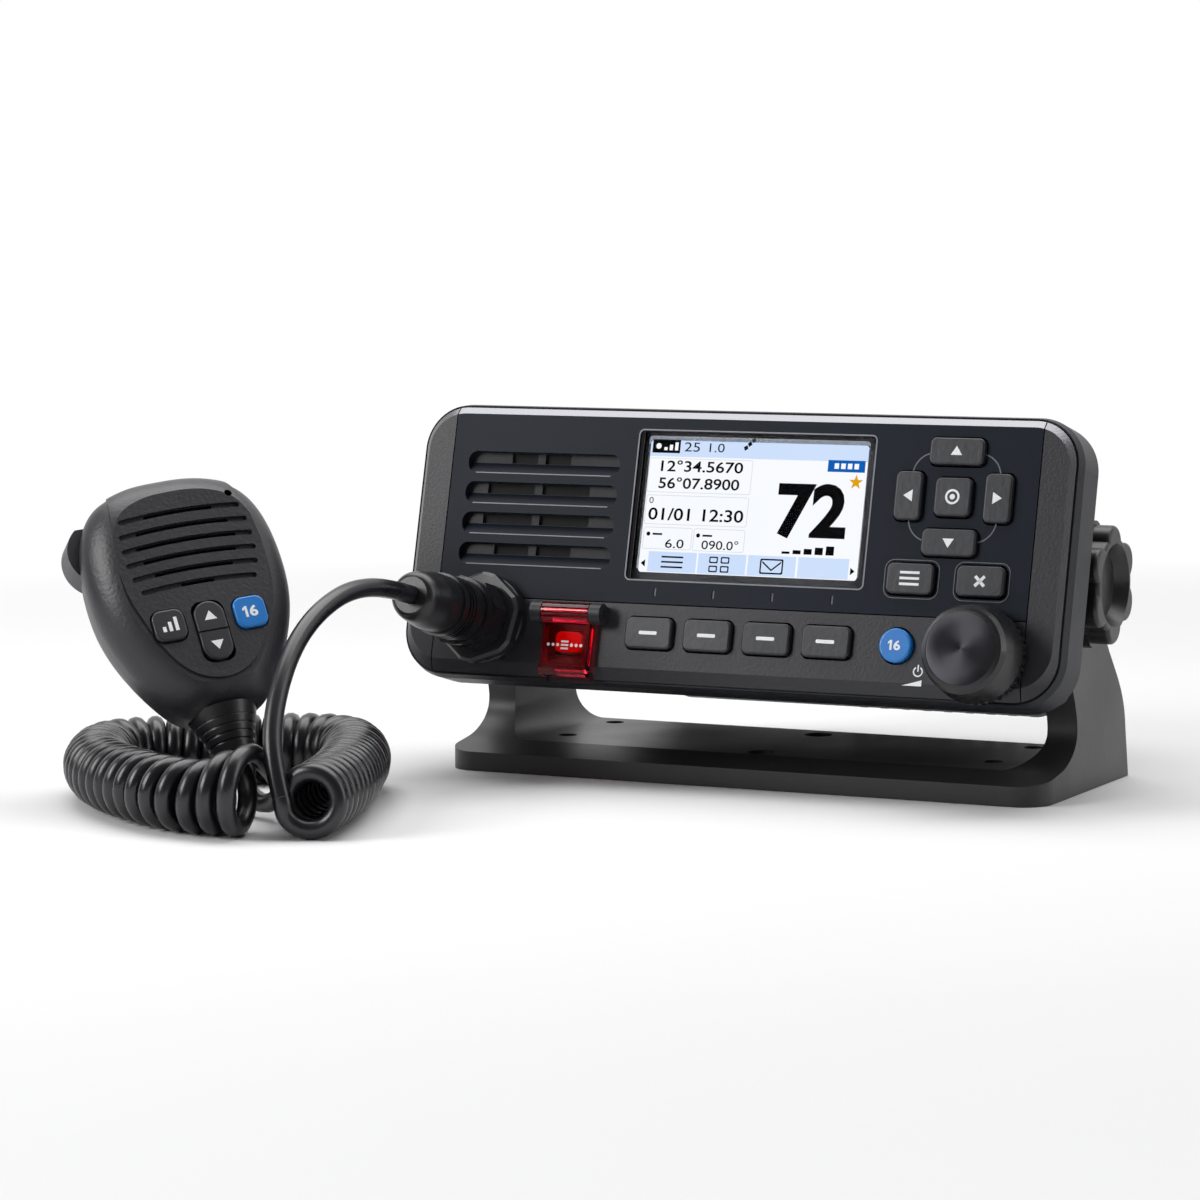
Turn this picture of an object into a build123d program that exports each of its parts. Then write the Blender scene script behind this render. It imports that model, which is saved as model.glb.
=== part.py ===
from build123d import *
import os
from math import cos, pi, radians, sin, sqrt, tan

# A fixed-mount VHF marine radio on a tilting U bracket, with a fist microphone on a
# curly cord. Millimetres. Z is up, the front of the radio looks along -Y, and the
# origin is the centre of the underside of the bracket.

# ---------------------------------------------------------------- bracket
BRACKET_WIDTH = 166.6
BRACKET_DEPTH = 63.8
PLATE_THICK = 7.0
LIP_HEIGHT = 5.0
BEVEL_RUN = 13.3
BASE_CORNER = 8.0
ARM_THICK = 8.0
ARM_ROOT_FILLET = 8.0
ARM_HEAD_RADIUS = 14.0
ARM_FRONT_SETBACK = 25.0
ARM_NECK_DEPTH = 27.5
OUTER_HOLE_SPACING = 120.9
OUTER_HOLE_RADIUS = 2.5
OUTER_HOLE_FRONT_Y = -5.1
OUTER_HOLE_REAR_Y = 23.3
MIDDLE_HOLE_RADIUS = 3.75
MIDDLE_HOLE_FRONT_Y = -14.1
MIDDLE_HOLE_REAR_Y = 22.9

# ---------------------------------------------------------------- tilt pivot
PIVOT_Y = -4.0
PIVOT_Z = 53.0
REST_TILT = 14.2
BOLT_RADIUS = 3.0
BOLT_CLEAR = 0.08
BOLT_REACH = 9.0
WASHER_THICK = 0.8
WASHER_RADIUS = 9.0
SIDE_CLEAR = 0.1

# ---------------------------------------------------------------- clamp knobs
KNOB_LENGTH = 8.6
KNOB_RADIUS = 16.0
KNOB_LOBES = 6
KNOB_LOBE_RADIUS = 5.4
KNOB_CORE_RADIUS = 13.2
KNOB_BASE_TIER = 3.2
KNOB_TIER_STEP = 1.1
KNOB_DISH_RADIUS = 10.4
KNOB_DISH_DEPTH = 3.4
KNOB_SEAT_GAP = 0.2

# ---------------------------------------------------------------- radio face
FACE_WIDTH = 180.0
FACE_HEIGHT = 69.7
FACE_AHEAD = 31.4
FACE_RISE = 0.55
FACE_CORNER = 11.0
PANEL_THICK = 2.0
BEVEL_DEPTH = 1.3
BEVEL_SIDE = 1.3
BEVEL_TOP = 1.8
BEVEL_BOTTOM = 3.2
CHEEK_WIDTH = 8.6
SEAM = 0.3
GROOVE = 0.45
LOWER_PANEL_HEIGHT = 19.9

# ---------------------------------------------------------------- front housing
LIP = 1.3
LIP_SETBACK = 1.6
LIP_CHAMFER = 0.7
LIP_CHAMFER_DEPTH = 2.6
HOUSING_BACK = 14.0
FLOOR_THICK = 2.6
CAVITY_WIDTH = 146.6
CAVITY_HEIGHT = 66.0
KEY_POCKET_WIDTH = 154.0
KEY_POCKET_BACK = 11.4
WING_POCKET_WIDTH = 5.6
WING_POCKET_HEIGHT = 42.0
WING_FLOOR = 2.5

# ---------------------------------------------------------------- screen
SCREEN_X = 4.75
SCREEN_V = 10.55
WINDOW_WIDTH = 65.0
WINDOW_HEIGHT = 38.2
WINDOW_CORNER = 1.0
WINDOW_RECESS = 0.35
WINDOW_FIT = 0.15
ACTIVE_WIDTH = 60.1
ACTIVE_HEIGHT = 34.0
LCD_BORDER = 3.0
LCD_THICK = 3.0

# ---------------------------------------------------------------- keys
KEY_GAP = 0.45
KEY_CORNER = 1.6
KEY_PROUD = 1.5
KEY_EDGE = 0.55
KEY_FLANGE = 0.8
KEY_FLANGE_THICK = 0.9
KEY_UNDER_FLOOR = 0.1
KEY_TRAVEL = 0.8
PAD_FROM_SEAM = 21.8
PAD_V = 14.95
PAD_STEP_X = 11.8
PAD_STEP_V = 11.4
LONG_KEY = 14.4
LONG_KEY_HEIGHT = 6.8
TALL_KEY = 12.3
TALL_KEY_WIDTH = 7.2
ENTER_KEY = 9.7
MENU_V = -5.75
MENU_SPREAD = 18.5
MENU_KEY = 12.5
MENU_KEY_HEIGHT = 7.7
SOFT_X = 5.15
SOFT_V = -22.5
SOFT_PITCH = 16.27
SOFT_KEY = 13.0
SOFT_KEY_HEIGHT = 8.0
ROUND_KEY_FROM_SEAM = 33.2
ROUND_KEY_RADIUS = 4.3
TICK_RISE = 10.7
TICK_LENGTH = 2.2
TICK_WIDTH = 0.7
TICK_DEPTH = 0.4

# ---------------------------------------------------------------- boards
MAT_THICK = 1.0
MAT_CLEAR = 0.2
PIP_HEIGHT = 0.6
PIP_RADIUS = 1.6
BOARD_THICK = 1.6

# ---------------------------------------------------------------- dial
DIAL_FROM_SEAM = 10.8
DIAL_V = -24.1
DIAL_RADIUS = 12.2
DIAL_RIM_RADIUS = 10.95
DIAL_FACE_RADIUS = 9.3
DIAL_SKIRT = 8.4
DIAL_HEIGHT = 14.0
DIAL_GAP = 1.0
DIAL_PUSH = 0.6
DIAL_RIBS = 40
DIAL_RIB_RADIUS = 0.55
SHAFT_RADIUS = 3.0
SHAFT_FIT = 0.05
SHAFT_IN_KNOB = 9.0
BUSHING_RADIUS = 4.4
BUSHING_FIT = 0.1
ENCODER_SIZE = 12.2
PLUNGER_THICK = 0.5
PLUNGER_GAP = 0.05

# ---------------------------------------------------------------- loudspeaker
SLOT_X = -54.75
SLOT_V = 8.4
SLOT_COUNT = 4
SLOT_PITCH = 8.0
SLOT_LENGTH = 43.9
SLOT_HEIGHT = 5.6
SLOT_CORNER = 2.5
SLOT_OPEN = 2.8
SPEAKER_X = -56.4
SPEAKER_V = 8.75
SPEAKER_RADIUS = 16.4
SPEAKER_RIM = 2.4
SPEAKER_DEPTH = 12.0
MAGNET_RADIUS = 9.5
GRILLE_RADIUS = 15.6
GRILLE_RIB = 2.2

# ---------------------------------------------------------------- distress key and its cover
DISTRESS_X = -41.5
DISTRESS_HINGE_V = -18.55
DISTRESS_HINGE_H = 3.0
HINGE_RADIUS = 2.7
HINGE_LENGTH = 19.9
HINGE_CAP = 3.1
HINGE_SIDE_GAP = 0.25
HINGE_PIN_RADIUS = 0.8
HINGE_PIN_FIT = 0.06
COVER_PLATE_LOW = 2.0
COVER_PLATE_THICK = 1.2
COVER_PLATE_END = -32.0
COVER_LIP_END = -34.9
COVER_LIP_TOP = 4.1
COVER_LIP_LOW = 0.9
COVER_WALL = 1.0
DISTRESS_KEY = 7.5
DISTRESS_KEY_HEIGHT = 5.4
DISTRESS_KEY_V = -25.85
DISTRESS_KEY_PROUD = 1.2
FINGER_NOTCH_DEPTH = 1.6

# ---------------------------------------------------------------- microphone socket and plug
SOCKET_X = -66.2
SOCKET_V = -21.05
SOCKET_FLANGE_RADIUS = 11.5
SOCKET_FLANGE_THICK = 2.8
SOCKET_HEX = 22.0
SOCKET_HEX_ROUND = 11.8
SOCKET_HEX_THICK = 3.5
SPIGOT_RADIUS = 7.6
SPIGOT_LENGTH = 7.7
SOCKET_BORE = 6.1
SOCKET_BODY_RADIUS = 8.6
SOCKET_BODY_DEPTH = 11.0
SOCKET_HOLE_FIT = 0.2
PLUG_CORE_RADIUS = 6.0
PLUG_CORE_IN = 11.0
NUT_RADIUS = 9.3
NUT_SIDES = 8
NUT_LENGTH = 10.0
NUT_FIT = 0.1
NUT_GAP = 0.2
BARREL_RADIUS = 8.0
BARREL_LENGTH = 10.7
BARREL_GROOVE = 0.4
BOOT_RADIUS = 7.4
BOOT_TIP_RADIUS = 4.6
BOOT_LENGTH = 14.5
BOOT_GRIP = 4.5
BOOT_GRIP_RADIUS = 5.0

# ---------------------------------------------------------------- chassis
GASKET_THICK = 0.8
FLANGE_THICK = 3.0
FLANGE_HEIGHT = 66.0
EAR_WIDTH = 175.0
EAR_CLEAR = 17.5
SCREW_X = 84.3
SCREW_V = 28.5
CHASSIS_TOP = 28.5
CHASSIS_BOTTOM = -27.5
CHASSIS_BACK = 96.0
CHASSIS_STEP = 48.0
REAR_HALF = 56.0
CHASSIS_WALL = 3.0
CHASSIS_CORNER = 5.0
FIN_LENGTH = 10.0
FIN_THICK = 2.2
FIN_COUNT = 10
FIN_PITCH = 6.2
FIN_MIDDLE_X = 24.6
TOP_FIN_HEIGHT = 2.6
TOP_FIN_COUNT = 17
TOP_FIN_PITCH = 6.6
PIVOT_BOSS_RADIUS = 8.0
PIVOT_BOSS_LENGTH = 13.0
POST_RADIUS = 3.2
POST_HEIGHT = 5.0
POST_X = 46.0
BOARD_LENGTH = 62.0
BOARD_WIDTH = 102.0

# ---------------------------------------------------------------- rear connectors
ANTENNA_X = -40.0
ANTENNA_V = 9.0
ANTENNA_RADIUS = 7.94
ANTENNA_LENGTH = 14.0
ANTENNA_FLANGE = 25.4
ANTENNA_BORE = 4.2
GLAND_X = -40.0
GLAND_V = -15.0
GLAND_RADIUS = 6.5
GLAND_BORE = 3.3
GLAND_LENGTH = 9.0
DATA_X = -18.0
DATA_V = -13.0
DATA_RADIUS = 7.5
DATA_LENGTH = 9.0
REAR_PLUG_DEPTH = 3.0
REAR_FIT = 0.05

# ---------------------------------------------------------------- screws
SCREW_RADIUS = 1.5
SCREW_HEAD_RADIUS = 2.9
SCREW_HEAD_THICK = 1.8
SCREW_LENGTH = 11.0
SCREW_CLEAR = 0.15

# ---------------------------------------------------------------- fist microphone
MIC_CENTRE = (-112.8, -109.3, 49.3)
MIC_TURN = 46.6
MIC_LEAN = 28.8
MIC_ROLL = 7.8
MIC_HALF_WIDTH = 25.3
MIC_TOP = 31.6
MIC_BOTTOM = -31.5
MIC_PARTING = 1.0
MIC_FACE = 12.3
MIC_BACK = -13.4
MIC_WALL = 2.2
MIC_SEAM = 0.3
SHIELD_RISE = 0.5
MIC_HOLE_X = 14.0
MIC_HOLE_V = 23.2
MIC_SLOT_TOP = 20.5
MIC_SLOT_PITCH = 3.86
MIC_SLOT_WIDTH = 1.4
MIC_SLOT_OPEN = 1.0
MIC_SLOT_ARCH = 130.0
MIC_SLOT_DEPTH = 0.9
# half lengths of the slots and of their open middles, from the top down
MIC_SLOTS = [(15.1, 8.5), (16.0, 11.5), (16.3, 12.5), (16.2, 11.6), (15.6, 9.7), (14.3, 3.8)]
MIC_SPEAKER_RADIUS = 13.0
MIC_SPEAKER_V = 9.8
MIC_KEY = 8.2
MIC_KEY_HEIGHT = 8.2
MIC_KEY_X = 10.5
MIC_KEY_V = -9.2
MIC_KEY_PROUD = 0.9
MIC_KEY_GAP = 0.35
MIC_KEY_FOOT = 7.4
MIC_KEY_FLANGE = 0.8
MIC_KEY_CORNER = 2.4
ROCKER_WIDTH = 7.8
ROCKER_HEIGHT = 15.6
ROCKER_V = -12.4
ROCKER_AXLE_H = 8.4
ROCKER_AXLE_RADIUS = 0.9
ROCKER_AXLE_FIT = 0.06
ROCKER_AXLE_LENGTH = 9.6
ROCKER_CREASE = 0.5
ROCKER_RIB = 0.9
ROCKER_RIB_X = 4.35
PTT_V = 18.0
PTT_LENGTH = 14.0
PTT_HIGH = -0.8
PTT_LOW = -8.6
PTT_APEX = -26.4
PTT_SHOULDER = -22.9
PTT_INNER = -17.2
PTT_GAP = 0.4
PTT_HOOK = 1.2
PTT_HOOK_X = -18.7
PTT_WINDOW_END = -15.4
PTT_SWITCH_V = 13.8
MIC_BOARD_THICK = 1.2
MIC_BOARD_TOP = 5.4
MIC_BOARD_WIDTH = 28.0
MIC_BOARD_BOTTOM = -19.0
MIC_BOARD_HEIGHT = 36.0
SWITCH_HEIGHT = 1.2
STUD_V = 12.0
STUD_RADIUS = 4.0
STUD_LENGTH = 4.0
STUD_HEAD_RADIUS = 7.5
STUD_HEAD_THICK = 2.4
STUD_SCREW_RADIUS = 1.5
MIC_SCREW_X = 11.5
MIC_SCREW_TOP = 20.0
MIC_SCREW_BOTTOM = -17.4
MIC_SCREW_RADIUS = 1.1
MIC_SCREW_HEAD = 2.2
MIC_SCREW_SINK = 1.4
MIC_BOSS_RADIUS = 2.6
NECK_H = 1.0
MIC_BOOT_IN = 2.5
MIC_BOOT_FOOT = 6.0
MIC_BOOT_SINK = 1.6
MIC_BOOT_RADIUS = 8.8
MIC_BOOT_TIP = 5.0
MIC_BOOT_END = -41.0
MIC_BOOT_RIB = 0.6
MIC_BOOT_RIBS = 4

# ---------------------------------------------------------------- cord
CORD_DIAMETER = 4.7
COIL_DIAMETER = 18.0
RUN_SHARE = 0.45

# lead: over and down from the boot of the plug into the open end of the coil
LEAD_EXIT = 12.8
LEAD_POINTS = [
    (-68.2, -106.0, 54.9),
    (-69.6, -118.3, 51.2),
    (-69.9, -129.5, 44.8),
    (-68.8, -139.0, 36.4),
    (-67.2, -146.2, 26.2),
    (-64.4, -150.3, 17.4),
    (-61.8, -151.2, 10.0),
]

# coil: the ring that the curly part lies in on the table, seen from above
COIL_POINTS = [
    (-54.5, -152.6),
    (-60.5, -129.5),
    (-70.5, -104.5),
    (-82.0, -80.0),
    (-91.0, -67.5),
    (-104.0, -66.5),
    (-120.0, -78.0),
    (-137.0, -89.0),
    (-143.5, -100.5),
    (-136.5, -116.0),
    (-124.0, -131.0),
    (-108.5, -142.5),
    (-93.5, -150.5),
    (-81.0, -153.2),
    (-68.4, -151.6),
]

# tail: from the coil's last turn, over the table, up into the boot of the microphone
TAIL_POINTS = [
    (-70.4, -150.5, 15.0),
    (-69.6, -141.0, 16.0),
    (-72.4, -132.6, 9.6),
    (-77.8, -127.8, 3.9),
]
TAIL_RISE = 12.2

# ---------------------------------------------------------------- derived sizes and planes
TILT = radians(REST_TILT)
FACE_NORMAL = (0.0, -cos(TILT), sin(TILT))
FACE_UP = (0.0, sin(TILT), cos(TILT))
FACE_ORIGIN = (
    0.0,
    PIVOT_Y + FACE_AHEAD * FACE_NORMAL[1] + FACE_RISE * FACE_UP[1],
    PIVOT_Z + FACE_AHEAD * FACE_NORMAL[2] + FACE_RISE * FACE_UP[2],
)
# face plane: local x to the right, local y up the face, local z out of it
FACE = Plane(origin=FACE_ORIGIN, x_dir=(1, 0, 0), z_dir=FACE_NORMAL)
# side plane: local x up the face, local y out of it, so a profile is drawn as (v, h)
SIDE = Plane(origin=FACE_ORIGIN, x_dir=FACE_UP, z_dir=(1, 0, 0))

ARM_INNER = BRACKET_WIDTH / 2 - ARM_THICK
ARM_TOP = PIVOT_Z + ARM_HEAD_RADIUS
BASE_FRONT = -BRACKET_DEPTH / 2
BASE_REAR = BRACKET_DEPTH / 2
SEAM_X = FACE_WIDTH / 2 - CHEEK_WIDTH
FLAT_TOP = FACE_HEIGHT / 2 - BEVEL_TOP
FLAT_BOTTOM = -FACE_HEIGHT / 2 + BEVEL_BOTTOM
MID_SEAM_V = -FACE_HEIGHT / 2 + LOWER_PANEL_HEIGHT
HOUSING_WIDTH = FACE_WIDTH + 2 * LIP
HOUSING_HEIGHT = FACE_HEIGHT + 2 * LIP
FLOOR_FRONT = -PANEL_THICK
FLOOR_BACK = FLOOR_FRONT - FLOOR_THICK
PAD_X = SEAM_X - PAD_FROM_SEAM
ROUND_KEY_X = SEAM_X - ROUND_KEY_FROM_SEAM
DIAL_X = SEAM_X - DIAL_FROM_SEAM
KEY_FLANGE_TOP = FLOOR_BACK - KEY_UNDER_FLOOR
KEY_FLANGE_LOW = KEY_FLANGE_TOP - KEY_FLANGE_THICK
MAT_TOP = KEY_FLANGE_LOW - KEY_TRAVEL - MAT_CLEAR
MAT_LOW = MAT_TOP - MAT_THICK
BOARD_TOP = MAT_LOW - PIP_HEIGHT
BOARD_LOW = BOARD_TOP - BOARD_THICK
CHASSIS_HALF = ARM_INNER - WASHER_THICK - SIDE_CLEAR
FLANGE_FRONT = -HOUSING_BACK - GASKET_THICK
FLANGE_BACK = FLANGE_FRONT - FLANGE_THICK
CHASSIS_MIDDLE = (CHASSIS_TOP + CHASSIS_BOTTOM) / 2
CHASSIS_HEIGHT = CHASSIS_TOP - CHASSIS_BOTTOM
SLOT_ROWS = [SLOT_V + (row - (SLOT_COUNT - 1) / 2) * SLOT_PITCH for row in range(SLOT_COUNT)]
SOFT_COLUMNS = [SOFT_X + (column - 1.5) * SOFT_PITCH for column in range(4)]
HEX_TOP = SOCKET_FLANGE_THICK + SOCKET_HEX_THICK
NUT_LOW = HEX_TOP + NUT_GAP
NUT_TOP = NUT_LOW + NUT_LENGTH
SPIGOT_TOP = HEX_TOP + SPIGOT_LENGTH
BARREL_LOW = NUT_TOP + NUT_GAP
BARREL_TOP = BARREL_LOW + BARREL_LENGTH
BOOT_END = BARREL_TOP + BOOT_LENGTH
CORD_RADIUS = CORD_DIAMETER / 2
COIL_RADIUS = COIL_DIAMETER / 2

# every key of the face: name, x, v, width, height
PANEL_KEYS = [
    ("key_up", PAD_X, PAD_V + PAD_STEP_V, LONG_KEY, LONG_KEY_HEIGHT),
    ("key_down", PAD_X, PAD_V - PAD_STEP_V, LONG_KEY, LONG_KEY_HEIGHT),
    ("key_left", PAD_X - PAD_STEP_X, PAD_V, TALL_KEY_WIDTH, TALL_KEY),
    ("key_right", PAD_X + PAD_STEP_X, PAD_V, TALL_KEY_WIDTH, TALL_KEY),
    ("key_enter", PAD_X, PAD_V, ENTER_KEY, ENTER_KEY),
    ("key_menu", PAD_X - MENU_SPREAD / 2, MENU_V, MENU_KEY, MENU_KEY_HEIGHT),
    ("key_clear", PAD_X + MENU_SPREAD / 2, MENU_V, MENU_KEY, MENU_KEY_HEIGHT),
]
SOFT_KEYS = [
    (f"soft_key_{column + 1}", x, SOFT_V, SOFT_KEY, SOFT_KEY_HEIGHT)
    for column, x in enumerate(SOFT_COLUMNS)
]


def face_point(x, v, h):
    """World point of (x, v) on the face, h out of it."""
    return (
        x,
        FACE_ORIGIN[1] + v * FACE_UP[1] + h * FACE_NORMAL[1],
        FACE_ORIGIN[2] + v * FACE_UP[2] + h * FACE_NORMAL[2],
    )


def mic_frame():
    """Right, up and outward directions of the microphone, leaning back and rolled left."""
    turn = radians(MIC_TURN)
    lean = radians(MIC_LEAN)
    roll = radians(MIC_ROLL)
    out = Vector(sin(turn) * cos(lean), -cos(turn) * cos(lean), sin(lean))
    level = Vector(cos(turn), sin(turn), 0.0)
    rise = out.cross(level)
    right = level * cos(roll) + rise * sin(roll)
    up = rise * cos(roll) - level * sin(roll)
    return right, up, out


MIC_RIGHT, MIC_UP, MIC_OUT = mic_frame()
# microphone plane: local x to its right, local y up, local z out of its face
MIC = Plane(origin=MIC_CENTRE, x_dir=MIC_RIGHT, z_dir=MIC_OUT)


def mic_point(x, v, h):
    """World point of (x, v) in the microphone's plane, h out of it."""
    return Vector(*MIC_CENTRE) + MIC_RIGHT * x + MIC_UP * v + MIC_OUT * h


def slab(plane, width, height, corner, low, high, at=(0.0, 0.0), mode=Mode.ADD):
    """Rounded rectangle of the current part, from low to high along the plane's normal."""
    with BuildSketch(plane.offset(low)) as outline:
        with Locations(at):
            RectangleRounded(width, height, corner)
    extrude(outline.sketch, amount=high - low, mode=mode)


def disc(plane, radius, low, high, at=(0.0, 0.0), mode=Mode.ADD):
    """Round disc or hole of the current part, from low to high along the plane's normal."""
    with BuildSketch(plane.offset(low)) as outline:
        with Locations(at):
            Circle(radius)
    extrude(outline.sketch, amount=high - low, mode=mode)


def bar(plane, width, height, low, high, at=(0.0, 0.0), mode=Mode.ADD):
    """Square-cornered block of the current part, from low to high along the plane's normal."""
    with BuildSketch(plane.offset(low)) as outline:
        with Locations(at):
            Rectangle(width, height)
    extrude(outline.sketch, amount=high - low, mode=mode)


def profile(plane, points, start, end, mode=Mode.ADD):
    """Closed polygon of the current part, extruded from start to end along the plane's normal."""
    with BuildSketch(plane.offset(start)) as outline:
        with BuildLine():
            Polyline(points, close=True)
        make_face()
    extrude(outline.sketch, amount=end - start, mode=mode)


def save(piece, name):
    """Label a finished piece and write it as its own node."""
    piece.part.label = name
    export_step(piece.part, f"parts/{name}.step")


# ================================================================ bracket
def make_bracket():
    foot_y = BASE_FRONT + BEVEL_RUN
    front_y = BASE_FRONT + ARM_FRONT_SETBACK
    neck_y = front_y + ARM_NECK_DEPTH
    head = ARM_HEAD_RADIUS
    with BuildPart() as bracket:
        # U across the front, with rounded inner roots
        with BuildSketch(Plane.XZ.offset(-BRACKET_DEPTH / 2)):
            with Locations((0, ARM_TOP / 2)):
                Rectangle(BRACKET_WIDTH, ARM_TOP)
            with Locations((0, PLATE_THICK + ARM_TOP / 2)):
                Rectangle(2 * ARM_INNER, ARM_TOP, mode=Mode.SUBTRACT)
            inner = [
                (-ARM_INNER, PLATE_THICK),
                (ARM_INNER, PLATE_THICK),
            ]
            for x, z in inner:
                side = 1 if x > 0 else -1
                with Locations((x - side * ARM_ROOT_FILLET / 2, z + ARM_ROOT_FILLET / 2)):
                    Rectangle(ARM_ROOT_FILLET, ARM_ROOT_FILLET)
                with Locations((x - side * ARM_ROOT_FILLET, z + ARM_ROOT_FILLET)):
                    Circle(ARM_ROOT_FILLET, mode=Mode.SUBTRACT)
        extrude(amount=BRACKET_DEPTH)
        # silhouette from the side: bevelled base, arms with round heads
        with BuildSketch(Plane.YZ.offset(-BRACKET_WIDTH / 2)):
            with BuildLine():
                Polyline(
                    (foot_y, PLATE_THICK),
                    (BASE_FRONT, LIP_HEIGHT),
                    (BASE_FRONT, 0),
                    (BASE_REAR, 0),
                    (BASE_REAR - 2.4, PLATE_THICK + 6.0),
                )
                Spline(
                    (BASE_REAR - 2.4, PLATE_THICK + 6.0),
                    (neck_y + 4.6, PIVOT_Z - 29.0),
                    (neck_y - 4.0, PIVOT_Z - 19.0),
                    (PIVOT_Y + head, PIVOT_Z),
                    tangents=((-0.1, 1.0), (-0.05, 1.0)),
                )
                ThreePointArc(
                    (PIVOT_Y + head, PIVOT_Z),
                    (PIVOT_Y, PIVOT_Z + head),
                    (PIVOT_Y - head, PIVOT_Z),
                )
                Spline(
                    (PIVOT_Y - head, PIVOT_Z),
                    (front_y - 3.2, PLATE_THICK + 20.0),
                    (front_y, PLATE_THICK + 7.0),
                    (foot_y, PLATE_THICK),
                    tangents=((0.1, -1.0), (-1.0, -0.15)),
                )
            make_face()
        extrude(amount=BRACKET_WIDTH, mode=Mode.INTERSECT)
        # rounded front corners seen from above
        with BuildSketch(Plane.XY):
            with Locations((0, BRACKET_DEPTH)):
                RectangleRounded(BRACKET_WIDTH, 3 * BRACKET_DEPTH, BASE_CORNER)
        extrude(amount=ARM_TOP, mode=Mode.INTERSECT)
        # mounting holes
        for y in (OUTER_HOLE_FRONT_Y, OUTER_HOLE_REAR_Y):
            for x in (-OUTER_HOLE_SPACING / 2, OUTER_HOLE_SPACING / 2):
                disc(Plane.XY, OUTER_HOLE_RADIUS, -1, PLATE_THICK + 1, (x, y), Mode.SUBTRACT)
        for y in (MIDDLE_HOLE_FRONT_Y, MIDDLE_HOLE_REAR_Y):
            disc(Plane.XY, MIDDLE_HOLE_RADIUS, -1, PLATE_THICK + 1, (0, y), Mode.SUBTRACT)
        # pivot holes through both arms
        disc(
            Plane.YZ,
            BOLT_RADIUS + BOLT_CLEAR,
            -BRACKET_WIDTH,
            BRACKET_WIDTH,
            (PIVOT_Y, PIVOT_Z),
            Mode.SUBTRACT,
        )
    save(bracket, "bracket")


def make_bracket_washers():
    with BuildPart() as washers:
        for side in (-1, 1):
            low = min(side * CHASSIS_HALF, side * (CHASSIS_HALF + WASHER_THICK))
            with BuildSketch(Plane.YZ.offset(low)):
                with Locations((PIVOT_Y, PIVOT_Z)):
                    Circle(WASHER_RADIUS)
                    Circle(BOLT_RADIUS + BOLT_CLEAR, mode=Mode.SUBTRACT)
            extrude(amount=WASHER_THICK)
    save(washers, "bracket_washers")


def knob_plane(side):
    """Plane on the outer face of one arm, looking away from the radio."""
    return Plane(
        origin=(side * (BRACKET_WIDTH / 2 + KNOB_SEAT_GAP), PIVOT_Y, PIVOT_Z),
        x_dir=(0, 0, 1),
        z_dir=(side, 0, 0),
    )


def make_knob(side, name):
    seat = knob_plane(side)
    with BuildPart() as knob:
        for low, high, inset in ((0.0, KNOB_BASE_TIER, 0.0), (KNOB_BASE_TIER, KNOB_LENGTH, KNOB_TIER_STEP)):
            with BuildSketch(seat.offset(low)):
                Circle(KNOB_CORE_RADIUS - inset)
                with PolarLocations(KNOB_RADIUS - KNOB_LOBE_RADIUS - inset / 2, KNOB_LOBES):
                    Circle(KNOB_LOBE_RADIUS - inset / 2)
            extrude(amount=high - low)
        rim = knob.faces().sort_by(Axis(seat.origin, seat.z_dir))[-1]
        fillet(rim.edges(), KNOB_TIER_STEP)
        with BuildSketch(seat.offset(KNOB_LENGTH)):
            Circle(KNOB_DISH_RADIUS)
        extrude(amount=-KNOB_DISH_DEPTH, taper=30, mode=Mode.SUBTRACT)
        disc(seat, BOLT_RADIUS, 0, KNOB_LENGTH - KNOB_DISH_DEPTH - 1.2, mode=Mode.SUBTRACT)
    save(knob, name)


def make_knob_bolt(side, name):
    seat = knob_plane(side)
    inner = -(BRACKET_WIDTH / 2 + KNOB_SEAT_GAP - CHASSIS_HALF) - BOLT_REACH
    with BuildPart() as bolt:
        disc(seat, BOLT_RADIUS, inner, KNOB_LENGTH - KNOB_DISH_DEPTH - 1.2)
        tip = bolt.faces().sort_by(Axis(seat.origin, seat.z_dir))[0]
        chamfer(tip.edges(), 0.6)
    save(bolt, name)


# ================================================================ radio face
def face_blank():
    """The whole face plate of the current part: flat front, bevelled rim, square back."""
    slab(FACE, FACE_WIDTH, FACE_HEIGHT, FACE_CORNER, -PANEL_THICK, -BEVEL_DEPTH)
    flat_height = FLAT_TOP - FLAT_BOTTOM
    with BuildSketch(FACE.offset(-BEVEL_DEPTH)) as groove:
        RectangleRounded(FACE_WIDTH, FACE_HEIGHT, FACE_CORNER)
    with BuildSketch(FACE) as flat:
        with Locations((0, (FLAT_TOP + FLAT_BOTTOM) / 2)):
            RectangleRounded(FACE_WIDTH - 2 * BEVEL_SIDE, flat_height, FACE_CORNER - BEVEL_SIDE)
    loft([groove.sketch.face(), flat.sketch.face()], ruled=True)


def keep(x_low, x_high, v_low, v_high):
    """Keep only one rectangle of the face plate in the current part."""
    bar(
        FACE,
        x_high - x_low,
        v_high - v_low,
        -PANEL_THICK - 1,
        1,
        ((x_low + x_high) / 2, (v_low + v_high) / 2),
        Mode.INTERSECT,
    )


def cut_keys(keys, low, high):
    """Key holes, a gap wider than each key, in the current part."""
    for _, x, v, width, height in keys:
        slab(
            FACE,
            width + 2 * KEY_GAP,
            height + 2 * KEY_GAP,
            KEY_CORNER + KEY_GAP,
            low,
            high,
            (x, v),
            Mode.SUBTRACT,
        )


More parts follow.
